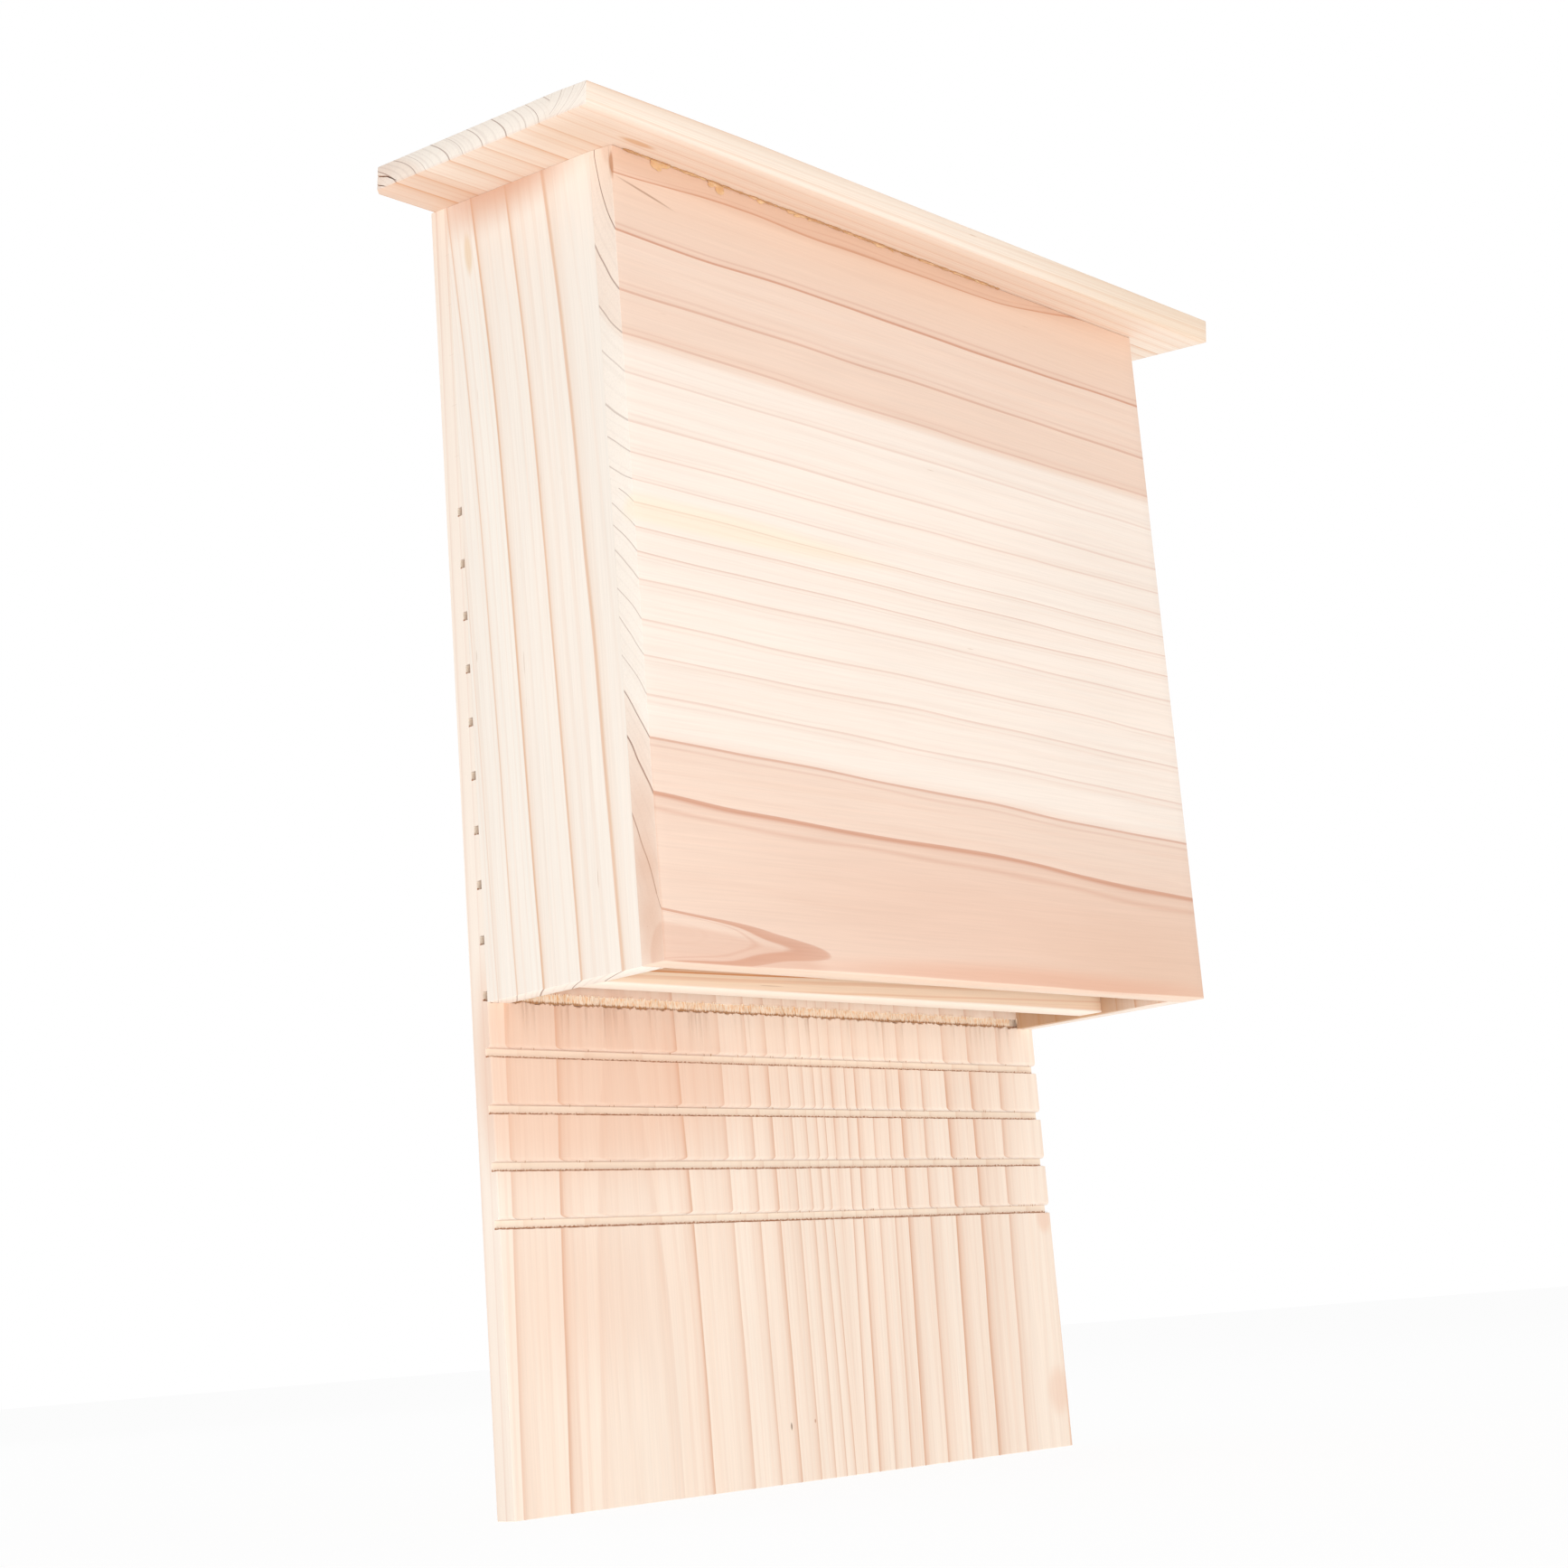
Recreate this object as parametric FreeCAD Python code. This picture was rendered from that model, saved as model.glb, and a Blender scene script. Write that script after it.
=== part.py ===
import FreeCAD, Part
import math
import os

# Two-chamber bat box of unfinished softwood boards, hung on a wall by two steel plates.
# Millimetres. X runs along the width, Y from the front to the wall, Z up.
# The wall is the plane Y = 0. The origin lies midway between the two wall screw holes.

# Boards
box_width = 305.0
side_board_width = 81.0
box_height = 304.0
landing_height = 177.0
back_thickness = 9.0
side_thickness = 10.0
front_thickness = 11.0
edge_ease = 0.35

# Roof
roof_thickness = 10.0
roof_slope_deg = 6.7
roof_side_overhang = 29.0
roof_front_overhang = 20.5
roof_corner_chip = 3.0

# Partition between the two roosting chambers
partition_thickness = 12.0
partition_lift = 0.6
crossing_gap = 20.0

# Grooves milled across the back board, for the bats to cling to
groove_pitch = 20.0
groove_height = 3.2
groove_depth = 2.4
first_groove_drop = 120.0
bare_foot_height = 95.0

# Steel hanger plates, let into the back board
hanger_inset = 52.5
hanger_width = 16.0
hanger_thickness = 1.5
hanger_hole_radius = 2.75
hanger_hole_rise = 24.0
hanger_overlap = 32.0
hanger_corner_radius = 3.0
fit_clearance = 0.1

# Countersunk screws that fix the plates
screw_radius = 1.4
screw_head_radius = 2.6
screw_head_height = 1.2
screw_length = 8.0
screw_margin = 8.0
screw_recess_width = 0.7
screw_recess_length = 3.0
screw_recess_depth = 0.7

# Brads with small heads
brad_radius = 0.6
brad_length = 25.0
brad_head_radius = 1.1
brad_head_height = 0.6
brad_margin = 24.0
back_brad_rows = 4
roof_brad_spacing = 65.0

# Headless pins, set just below the surface
pin_radius = 0.35
pin_length = 20.0
pin_set = 0.4
pin_margin = 30.0
front_pin_rows = 4
partition_pin_rows = 3
pilot_clearance = 0.05

# Glue squeezed out of the joint between the roof and the front board
glue_start = -146.0
glue_end = 64.0
glue_stations = 29
glue_least_leg = 0.5
glue_most_leg = 2.0

# Worked out from the sizes above
half_width = box_width / 2
hanger_spacing = box_width - 2 * hanger_inset
box_depth = back_thickness + side_board_width + front_thickness
slope = math.radians(roof_slope_deg)
top_z = -hanger_hole_rise
floor_z = top_z - box_height
foot_z = floor_z - landing_height
back_front_y = -back_thickness
side_front_y = back_front_y - side_board_width
front_face_y = -box_depth
inner_half_width = half_width - side_thickness
partition_middle_y = (back_front_y + side_front_y) / 2
partition_top_z = top_z + side_front_y * math.tan(slope) - crossing_gap
side_middle_x = half_width - side_thickness / 2
front_middle_y = front_face_y + front_thickness / 2
roof_back_y = -hanger_thickness - fit_clearance
up = FreeCAD.Vector(0, 0, 1)
back = FreeCAD.Vector(0, 1, 0)
right = FreeCAD.Vector(1, 0, 0)
roof_normal = FreeCAD.Vector(0, -math.sin(slope), math.cos(slope))


def block(x0, x1, y0, y1, z0, z1):
    """A box between two corners."""
    return Part.makeBox(x1 - x0, y1 - y0, z1 - z0, FreeCAD.Vector(x0, y0, z0))


def rod(radius, length, start, direction):
    """A cylinder that starts at a point and runs in a direction."""
    return Part.makeCylinder(radius, length, start, direction)


def roof_plane_z(y):
    """Height of the roof's underside at a depth, measured from the wall."""
    return top_z + y * math.tan(slope)


def under_roof(board):
    """Cut a board's top to the roof's slope."""
    reach = 2 * box_depth
    wedge = Part.makePolygon([
        FreeCAD.Vector(-box_width, reach, roof_plane_z(reach)),
        FreeCAD.Vector(-box_width, -reach, roof_plane_z(-reach)),
        FreeCAD.Vector(-box_width, -reach, roof_plane_z(reach) + reach),
        FreeCAD.Vector(-box_width, reach, roof_plane_z(reach) + reach),
        FreeCAD.Vector(-box_width, reach, roof_plane_z(reach)),
    ])
    return board.cut(Part.Face(wedge).extrude(right * 2 * box_width))


def ease(board, chosen):
    """Take the sharpness off the edges that a test picks by their middle point."""
    edges = [edge for edge in board.Edges if chosen(edge)]
    return board.makeChamfer(edge_ease, edges)


def runs_along(edge, direction):
    """True for an edge that is parallel to a direction."""
    if len(edge.Vertexes) < 2:
        return False
    along = edge.Vertexes[1].Point - edge.Vertexes[0].Point
    return along.cross(direction).Length < 1e-6


def drilled(board, tools):
    """Cut the pilot holes of a list of fasteners from a board."""
    return board.cut(Part.makeCompound(tools))


def evenly(first, last, count):
    """Places from first to last, both included."""
    step = (last - first) / (count - 1)
    return [first + step * index for index in range(count)]


def brad(head_point, direction, clearance=0.0):
    """A brad whose head is flush at a point, or its hole with a clearance."""
    head = rod(brad_head_radius + clearance, brad_head_height + clearance, head_point, direction)
    shank = rod(brad_radius + clearance, brad_length + clearance, head_point, direction)
    return head.fuse(shank)


def pin(surface_point, direction, clearance=0.0):
    """A headless pin set below the surface, or its hole with a clearance."""
    if clearance:
        return rod(pin_radius + clearance, pin_length + pin_set + clearance, surface_point, direction)
    return rod(pin_radius, pin_length, surface_point + direction * pin_set, direction)


def back_brads(clearance=0.0):
    """Brads through the back board into the sides' rear edges."""
    made = []
    for x in (-side_middle_x, side_middle_x):
        for z in evenly(top_z - brad_margin, floor_z + brad_margin, back_brad_rows):
            made.append(brad(FreeCAD.Vector(x, 0, z), -back, clearance))
    return made


def roof_brads(clearance=0.0):
    """Brads down through the roof into the tops of the box's four boards."""
    places = []
    for x in (-side_middle_x, side_middle_x):
        places.append((x, back_front_y - brad_margin))
        places.append((x, side_front_y + brad_margin))
    for x in (-roof_brad_spacing, 0.0, roof_brad_spacing):
        places.append((x, back_front_y / 2))
        places.append((x, front_middle_y))
    made = []
    for x, y in places:
        seat = FreeCAD.Vector(x, y, roof_plane_z(y))
        made.append(brad(seat + roof_normal * roof_thickness, -roof_normal, clearance))
    return made


def front_pins(clearance=0.0):
    """Pins through the front board into the sides' front edges."""
    made = []
    highest = roof_plane_z(front_face_y) - pin_margin
    for x in (-side_middle_x, side_middle_x):
        for z in evenly(highest, floor_z + pin_margin, front_pin_rows):
            made.append(pin(FreeCAD.Vector(x, front_face_y, z), back, clearance))
    return made


def partition_pins(clearance=0.0):
    """Pins through the sides into the ends of the partition."""
    made = []
    for side in (-1, 1):
        for z in evenly(partition_top_z - pin_margin, floor_z + pin_margin, partition_pin_rows):
            start = FreeCAD.Vector(side * half_width, partition_middle_y, z)
            made.append(pin(start, right * -side, clearance))
    return made


def hanger_screw(x, z, clearance=0.0):
    """A countersunk screw whose head is flush with the wall side, or its hole."""
    top = FreeCAD.Vector(x, 0, z)
    wide = screw_head_radius + clearance
    narrow = screw_radius + clearance
    head = Part.makeCone(wide, narrow, screw_head_height, top, -back)
    shank = rod(narrow, screw_length + clearance, top, -back)
    whole = head.fuse(shank)
    if clearance:
        return whole
    half_slot = screw_recess_width / 2
    half_run = screw_recess_length / 2
    flat = block(x - half_run, x + half_run, -screw_recess_depth, 1, z - half_slot, z + half_slot)
    tall = block(x - half_slot, x + half_slot, -screw_recess_depth, 1, z - half_run, z + half_run)
    return whole.cut(flat.fuse(tall))


def hanger_screws(clearance=0.0):
    """Two screws in each hanger plate."""
    made = []
    for x in (-hanger_spacing / 2, hanger_spacing / 2):
        for z in (top_z - screw_margin, top_z - hanger_overlap + screw_margin):
            made.append(hanger_screw(x, z, clearance))
    return made


def hanger_outline(x, grown=0.0):
    """A plate's blank: rounded over the wall screw, square below."""
    half = hanger_width / 2 + grown
    low = top_z - hanger_overlap - grown
    depth = hanger_thickness + grown
    strap = block(x - half, x + half, -depth, 0, low, 0)
    crown = rod(half, depth, FreeCAD.Vector(x, 0, 0), -back)
    return strap.fuse(crown).removeSplitter()


def hanger_plate(x):
    """A steel plate with one hole for the wall screw and two countersunk fixing holes."""
    plate = hanger_outline(x)
    low = top_z - hanger_overlap
    corners = [edge for edge in plate.Edges
               if runs_along(edge, back) and abs(edge.CenterOfMass.z - low) < edge_ease]
    plate = plate.makeFillet(hanger_corner_radius, corners)
    wall_hole = rod(hanger_hole_radius, hanger_thickness, FreeCAD.Vector(x, 0, 0), -back)
    plate = plate.cut(wall_hole)
    return drilled(plate, hanger_screws(pilot_clearance))


def groove_heights():
    """Middle heights of the grooves, from the top one down to the bare foot."""
    run = box_height + landing_height - first_groove_drop - bare_foot_height
    count = int(run // groove_pitch) + 1
    return [top_z - first_groove_drop - groove_pitch * index for index in range(count)]


def back_board():
    """Tall board with clinging grooves; its foot below the box is the landing."""
    board = block(-half_width, half_width, back_front_y, 0, foot_z, top_z)
    board = under_roof(board)
    board = ease(board, lambda edge: runs_along(edge, up) or
                 (runs_along(edge, right) and edge.CenterOfMass.z < foot_z + edge_ease))
    grooves = []
    for z in groove_heights():
        low = z - groove_height / 2
        grooves.append(block(-box_width, box_width, back_front_y - 1, back_front_y + groove_depth,
                             low, low + groove_height))
    board = board.cut(Part.makeCompound(grooves))
    lets = [hanger_outline(x, fit_clearance) for x in (-hanger_spacing / 2, hanger_spacing / 2)]
    board = board.cut(Part.makeCompound(lets))
    board = drilled(board, hanger_screws(pilot_clearance))
    board = drilled(board, back_brads(pilot_clearance))
    return drilled(board, roof_brads(pilot_clearance))


def side_board(side):
    """Left (-1) or right (1) side, its top cut to the roof's slope."""
    near = side * inner_half_width
    far = side * half_width
    board = block(min(near, far), max(near, far), side_front_y, back_front_y, floor_z, top_z)
    board = under_roof(board)
    board = ease(board, lambda edge: runs_along(edge, up) or edge.CenterOfMass.z < floor_z + 1e-6)
    board = drilled(board, back_brads(pilot_clearance))
    board = drilled(board, front_pins(pilot_clearance))
    board = drilled(board, partition_pins(pilot_clearance))
    return drilled(board, roof_brads(pilot_clearance))


def front_board():
    """Board across the front, over the sides' front edges."""
    board = block(-half_width, half_width, front_face_y, side_front_y, floor_z, top_z)
    board = under_roof(board)
    board = ease(board, lambda edge: runs_along(edge, up) or edge.CenterOfMass.z < floor_z + 1e-6)
    board = drilled(board, front_pins(pilot_clearance))
    return drilled(board, roof_brads(pilot_clearance))


def partition():
    """Board between the sides that parts the front chamber from the rear one."""
    half = partition_thickness / 2
    board = block(-inner_half_width, inner_half_width, partition_middle_y - half,
                  partition_middle_y + half, floor_z + partition_lift, partition_top_z)
    board = ease(board, lambda edge: runs_along(edge, right))
    return drilled(board, partition_pins(pilot_clearance))


def roof_board():
    """Sloped board that overhangs the box at both sides and at the front."""
    half = half_width + roof_side_overhang
    length = (box_depth + roof_back_y) / math.cos(slope) + roof_front_overhang
    flat = block(-half, half, -length, 0, 0, roof_thickness)
    flat = ease(flat, lambda edge: not runs_along(edge, up))
    chip = Part.makePolygon([
        FreeCAD.Vector(-half, 0, 0),
        FreeCAD.Vector(-half + roof_corner_chip, 0, 0),
        FreeCAD.Vector(-half, -roof_corner_chip, 0),
        FreeCAD.Vector(-half, 0, 0),
    ])
    flat = flat.cut(Part.Face(chip).extrude(up * roof_thickness))
    flat.rotate(FreeCAD.Vector(0, 0, 0), right, roof_slope_deg)
    flat.translate(FreeCAD.Vector(0, roof_back_y, roof_plane_z(roof_back_y)))
    return drilled(flat, roof_brads(pilot_clearance))


def glue_section(x, leg):
    """Triangle of glue in the corner under the roof, one leg on each board."""
    corner = FreeCAD.Vector(x, front_face_y, roof_plane_z(front_face_y))
    on_roof = corner + FreeCAD.Vector(0, -math.cos(slope), -math.sin(slope)) * leg
    on_front = corner - up * leg
    return Part.makePolygon([corner, on_roof, on_front, corner])


def glue_bead():
    """Uneven bead of glue, thicker where it ran."""
    wires = []
    for index, x in enumerate(evenly(glue_start, glue_end, glue_stations)):
        swell = math.sin(index * 1.3) * math.cos(index * 0.47)
        leg = glue_least_leg + (glue_most_leg - glue_least_leg) * swell * swell
        wires.append(glue_section(x, leg))
    return Part.makeLoft(wires, True, True)


def write(name, shape):
    """Check a sub-part and write its STEP file."""
    if not shape.isValid():
        raise ValueError(name + " is not a valid shape")
    shape.exportStep("parts/" + name + ".step")
    box = shape.BoundBox
    print(name, len(shape.Solids), "solids", round(shape.Volume, 1), "mm3",
          [round(value, 1) for value in (box.XMin, box.XMax, box.YMin, box.YMax, box.ZMin, box.ZMax)])


os.makedirs("parts", exist_ok=True)
write("back_board", back_board())
write("left_side", side_board(-1))
write("right_side", side_board(1))
write("front_board", front_board())
write("partition", partition())
write("roof_board", roof_board())
write("glue_bead", glue_bead())
write("hanger_plate_left", hanger_plate(-hanger_spacing / 2))
write("hanger_plate_right", hanger_plate(hanger_spacing / 2))
write("hanger_screws", Part.makeCompound(hanger_screws()))
write("back_brads", Part.makeCompound(back_brads()))
write("roof_brads", Part.makeCompound(roof_brads()))
write("front_pins", Part.makeCompound(front_pins()))
write("partition_pins", Part.makeCompound(partition_pins()))
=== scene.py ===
"""Looks for a two-chamber bat box of planed softwood, laid out as an add-on and run as a script."""

import math
import random

import bmesh
import bpy
from bpy.props import FloatProperty, FloatVectorProperty, IntProperty, PointerProperty
from mathutils import Matrix, Vector


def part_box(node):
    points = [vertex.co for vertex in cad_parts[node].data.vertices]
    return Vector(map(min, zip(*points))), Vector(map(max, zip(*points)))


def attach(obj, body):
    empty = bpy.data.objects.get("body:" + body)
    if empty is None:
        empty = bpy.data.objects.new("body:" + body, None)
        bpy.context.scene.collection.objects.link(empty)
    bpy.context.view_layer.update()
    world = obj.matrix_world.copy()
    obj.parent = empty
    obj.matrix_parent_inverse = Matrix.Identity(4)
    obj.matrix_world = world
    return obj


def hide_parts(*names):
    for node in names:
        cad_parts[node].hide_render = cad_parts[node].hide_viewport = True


bl_info = {
    "name": "Bat Box Looks",
    "version": (1, 0, 0),
    "blender": (4, 5, 0),
    "location": "View3D > Sidebar > Bat Box",
    "description": "Dresses the packed bat box with grained boards, dried glue and zinc-plated steel",
    "category": "Object",
}

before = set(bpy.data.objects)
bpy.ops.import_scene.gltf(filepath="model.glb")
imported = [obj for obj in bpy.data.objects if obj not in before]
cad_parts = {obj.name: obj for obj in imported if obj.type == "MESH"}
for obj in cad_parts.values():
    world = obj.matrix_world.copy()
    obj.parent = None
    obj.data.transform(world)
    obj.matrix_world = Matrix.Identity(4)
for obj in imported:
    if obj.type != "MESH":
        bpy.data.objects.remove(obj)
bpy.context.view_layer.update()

MM = 0.001
ROOF_SLOPE = math.radians(6.7)
ROOF_THICKNESS = 10 * MM
# Height of the roof's underside where its plane meets the wall.
ROOF_AT_WALL = -24 * MM
# Grooves are counted from 0 at the top. The saw tore this one.
TORN_GROOVE = 9
# Splinters of a groove: how many, the ranges of their length as a share of the longest, of their width and
# of their depth behind the board's face in millimetres, and the share that hangs from the upper lip.
TORN_SPLINTERS = {
    "count": 300, "length": (0.4, 1.0), "width": (0.35, 0.85), "depth": (-0.7, 0.1), "hanging": 0.8,
}
FINE_SPLINTERS = {
    "count": 46, "length": (0.15, 0.32), "width": (0.2, 0.5), "depth": (-0.2, 0.3), "hanging": 0.4,
}
BRAD_HOLE_RADIUS = 1.15 * MM
BRAD_HOLE_DEPTH = 0.65 * MM
PLATES = ("hanger_plate_left", "hanger_plate_right")
PLATE_CORNER = 2 * MM

# The camera of the photograph, as fitted to the box's corners: pixels, millimetres and degrees.
PHOTO_WIDTH = 1735
FOCAL_LENGTH = 2802.912
SENSOR_WIDTH = 36.0
CAMERA_TARGET = (13.566, -3.454, -230.637)
CAMERA_DISTANCE = 1036.162
CAMERA_AZIMUTH, CAMERA_ELEVATION, CAMERA_ROLL = 46.459, -12.334, -4.501

# Edges sharper than this stay sharp.
SMOOTH_ANGLE = math.radians(28)
# Two places that are closer than this are the same place.
NEAR = 1e-5
Y_AXIS = Vector((0, 1, 0))
Z_AXIS = Vector((0, 0, 1))
# Turns a cylinder or cone so that it runs from front to back.
FACING_BACK = (math.radians(90), 0, 0)


def linear(code):
    """An sRGB hex colour as linear red, green, blue and a full alpha."""
    parts = [int(code[place:place + 2], 16) / 255 for place in (0, 2, 4)]
    turned = [part / 12.92 if part <= 0.04045 else ((part + 0.055) / 1.055) ** 2.4 for part in parts]
    return (*turned, 1.0)


# How each board was sawn from its tree, in millimetres in the model's frame. Every stave has the line of
# its pith, how that line drifts for each millimetre along the grain, the radii at which its growth rings
# end, and the force of each ring's line. Inside the heart radius the wood is pinker. Joints say on which
# axis, and where, one stave is glued to the next. Pink has the share of heartwood colour outside and inside
# the heart. Wander and ripple are the reach of the grain's slow and quick bends, weeks is the strength of
# the faint lines between two rings, contrast that of the rings' own lines, and shift the difference in tone
# from ring to ring. Bow bends the rings within the thickness, and sway leans them near one end. Latewood
# has the darkness of a ring at shares of its width, and line its colour, where it isn't the usual one.
USUAL_GRAIN = {
    "joints": (),
    "tint": (1.0, 1.0, 1.0),
    "wander": 4.0,
    "ripple": 0.7,
    "weeks": 0.12,
    "contrast": 0.7,
    "shift": 0.1,
    "bow": 0.0,
    "sway": None,
    "line": None,
    "latewood": ((0, 0.0), (0.5, 0.04), (0.75, 0.15), (0.9, 0.45), (0.965, 1), (0.995, 0.8), (1, 0)),
}
FRONT_GRAIN = {
    **USUAL_GRAIN,
    "grain": (1, 0, 0),
    "joints": ((2, -305.0), (2, -162.0)),
    "staves": (
        {
            "pith": (0, -60.16, -327.2),
            "drift": (0, 0.0135, -0.052),
            "rings": (20, 39, 40, 90),
            "force": (0.0, 1.15, 0.0),
            "heart": 200.0,
        },
        {
            "pith": (0, 101.5, -352.5),
            "drift": (0, 0.0233, 0.0161),
            "rings": (175, 184, 194, 204.1, 215.9, 224, 231.3, 238.9, 246, 254.8, 261, 266.6, 272.4, 279),
            "force": (0.6, 0.8, 1.0, 1.3, 1.0, 0.5, 0.5, 0.5, 0.5, 0.7, 0.65, 0.65, 0.5),
            "heart": 224.0,
        },
        {
            "pith": (0, -186.9, -32.0),
            "drift": (0, -0.0056, -0.0131),
            "rings": (72, 80, 85.6, 86.7, 93.6, 104.6, 115.4, 125.3, 139, 147.8, 156.2, 165),
            "force": (0.3, 0.0, 1.5, 1.35, 0.85, 0.65, 0.4, 0.5, 0.5, 0.5, 0.5),
            "heart": 116.5,
        },
    ),
    "pink": (0.14, 0.9),
    "tint": (0.99, 0.965, 0.955),
    "wander": 0.9,
    "ripple": 1.8,
    "weeks": 0.06,
    "line": "CE9579",
    "latewood": (
        (0, 0.0), (0.6, 0.02), (0.79, 0.07), (0.83, 0.42), (0.87, 0.08), (0.93, 0.2), (0.965, 0.95),
        (0.995, 0.8), (1, 0),
    ),
}
BACK_GRAIN = {
    **USUAL_GRAIN,
    "grain": (0, 0, 1),
    "joints": ((0, 21.0),),
    "staves": (
        {
            "pith": (-92.5, -155.1, 0),
            "drift": (0, -0.0069, 0),
            "rings": (130, 138, 144, 146.8, 153.2, 158.8, 163.9, 169.5, 173.9, 177.4, 180.4, 184, 195),
            "force": (0.1, 0.2, 0.8, 0.5, 0.6, 0.8, 0.6, 0.6, 0.65, 0.75, 0.7, 0.5),
            "heart": 100.0,
        },
        {
            "pith": (187.4, -289, 0),
            "drift": (0.0234, 0, 0),
            "rings": (277, 281, 285.2, 289.4, 293.8, 298.7, 303.8, 307, 311, 315.3, 318.1, 322, 328, 335),
            "force": (0.5, 0.6, 0.9, 0.9, 0.7, 0.95, 0.7, 0.6, 0.85, 0.8, 0.8, 0.6, 0.6),
            "heart": 200.0,
        },
    ),
    "pink": (0.34, 0.34),
    "tint": (1.005, 0.985, 0.95),
    "wander": 1.3,
    "weeks": 0.09,
    "contrast": 0.85,
    "line": "D0936C",
    "shift": 0.15,
    "latewood": (
        (0, 0.0), (0.4, 0.03), (0.7, 0.18), (0.86, 0.42), (0.94, 0.75), (0.97, 1), (0.995, 0.8), (1, 0),
    ),
}
LEFT_SIDE_GRAIN = {
    **USUAL_GRAIN,
    "grain": (0, 0, 1),
    "staves": (
        {
            "pith": (5, -135.5, 0),
            "drift": (0, 0.0356, 0),
            "rings": (150, 160, 171.6, 180.6, 191, 199.2, 205.8, 214, 222),
            "force": (0.5, 0.8, 0.9, 1.0, 0.65, 0.4, 0.5, 0.5),
            "heart": 140.0,
        },
    ),
    "pink": (0.03, 0.3),
    "wander": 1.2,
    "sway": ((-175, -25), (0, -5.5, 0)),
    "latewood": ((0, 0.0), (0.6, 0.02), (0.8, 0.1), (0.92, 0.3), (0.965, 1), (0.995, 0.8), (1, 0)),
}
RIGHT_SIDE_GRAIN = {
    **USUAL_GRAIN,
    "grain": (0, 0, 1),
    "staves": (
        {
            "pith": (20, -160, 0),
            "drift": (0, 0.02, 0),
            "rings": (128, 134, 141, 147, 154, 160, 168, 175, 183, 190, 198, 210),
            "force": (0.6, 0.8, 0.5, 0.9, 0.6, 0.8, 0.5, 0.9, 0.7, 0.6, 0.6),
            "heart": 150.0,
        },
    ),
    "pink": (0.3, 0.7),
    "tint": (1.0, 0.99, 0.98),
}
PARTITION_GRAIN = {
    **USUAL_GRAIN,
    "grain": (1, 0, 0),
    "staves": (
        {
            "pith": (0, 20, -250),
            "drift": (0, 0.006, 0.012),
            "rings": (
                60, 66, 73, 79, 86, 92, 97, 103, 110, 116, 123, 130, 138, 145, 152, 160, 168, 176, 188,
                200, 212,
            ),
            "force": (
                0.5, 0.7, 0.4, 0.8, 0.6, 0.5, 0.9, 0.6, 0.8, 0.5, 0.7, 0.6, 0.8, 0.5, 0.7, 0.6, 0.5, 0.6,
                0.6, 0.6,
            ),
            "heart": 60.0,
        },
    ),
    "pink": (0.0, 0.1),
    # The tint is painted warm shade: it turns the faces inside the chambers orange, and a mark makes the
    # bottom pale again.
    "tint": (1.0, 0.855, 0.71),
    "wander": 1.0,
    "weeks": 0.3,
    "contrast": 1.0,
}
ROOF_GRAIN = {
    **USUAL_GRAIN,
    "grain": (1, 0, 0),
    "joints": ((1, -103.0),),
    "staves": (
        {
            "pith": (0, -196, -77),
            "drift": (0, 0.004, 0.006),
            "rings": (84, 88, 92, 97, 102, 106.9, 111, 115.4, 119.6, 124, 129),
            "force": (0.2, 0.3, 0.2, 0.3, 0.25, 0.35, 0.5, 0.5, 0.5, 0.5),
            "heart": 60.0,
        },
        {
            "pith": (0, 79, -157),
            "drift": (0, 0.006, 0.003),
            "rings": (170, 177, 183.8, 190.2, 193.4, 201.7, 206.7, 214.1, 223.2, 231, 235.9, 243, 252),
            "force": (0.8, 1.0, 0.8, 0.6, 0.75, 0.5, 0.65, 0.85, 0.4, 0.85, 0.8, 0.6),
            "heart": 192.0,
        },
    ),
    "pink": (0.08, 0.75),
    "tint": (0.97, 0.93, 0.885),
    "wander": 1.4,
    "weeks": 0.15,
    "contrast": 0.85,
    "bow": 9.3,
    "latewood": ((0, 0.0), (0.5, 0.04), (0.75, 0.2), (0.9, 0.5), (0.965, 1), (0.995, 0.8), (1, 0)),
}


class BatBoxSizes(bpy.types.PropertyGroup):
    """Sizes that a user may change."""

    edge_ease: FloatProperty(
        name="Eased edge", description="Width of the sanded edge of each board",
        default=0.35 * MM, unit="LENGTH",
    )
    groove_depth: FloatProperty(
        name="Groove depth", description="Depth of the grooves that bats cling to",
        default=2.4 * MM, unit="LENGTH",
    )
    groove_height: FloatProperty(
        name="Groove height", description="Height of each groove, one saw cut",
        default=3.2 * MM, unit="LENGTH",
    )
    groove_pitch: FloatProperty(
        name="Groove pitch", description="Distance from one groove to the next",
        default=20 * MM, unit="LENGTH",
    )
    groove_count: IntProperty(
        name="Grooves", description="Number of grooves across the back board",
        default=14, min=1, max=14,
    )
    first_groove: FloatProperty(
        name="First groove", description="Height of the top groove's upper lip",
        default=ROOF_AT_WALL - 120 * MM, unit="LENGTH",
    )
    torn_depth: FloatProperty(
        name="Torn lip", description="How far the saw tore the worst groove's lower lip",
        default=1.1 * MM, unit="LENGTH",
    )
    splinter_length: FloatProperty(
        name="Splinter length", description="Length of the longest fibres that hang in the grooves",
        default=3.6 * MM, unit="LENGTH",
    )
    roof_dip: FloatProperty(
        name="Roof dip", description="How much the roof's upper face falls at its front left corner",
        default=1.3 * MM, unit="LENGTH",
    )
    planing_depth: FloatProperty(
        name="Planing marks", description="Depth of the slight unevenness of planed faces",
        default=0.06 * MM, unit="LENGTH",
    )


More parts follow.
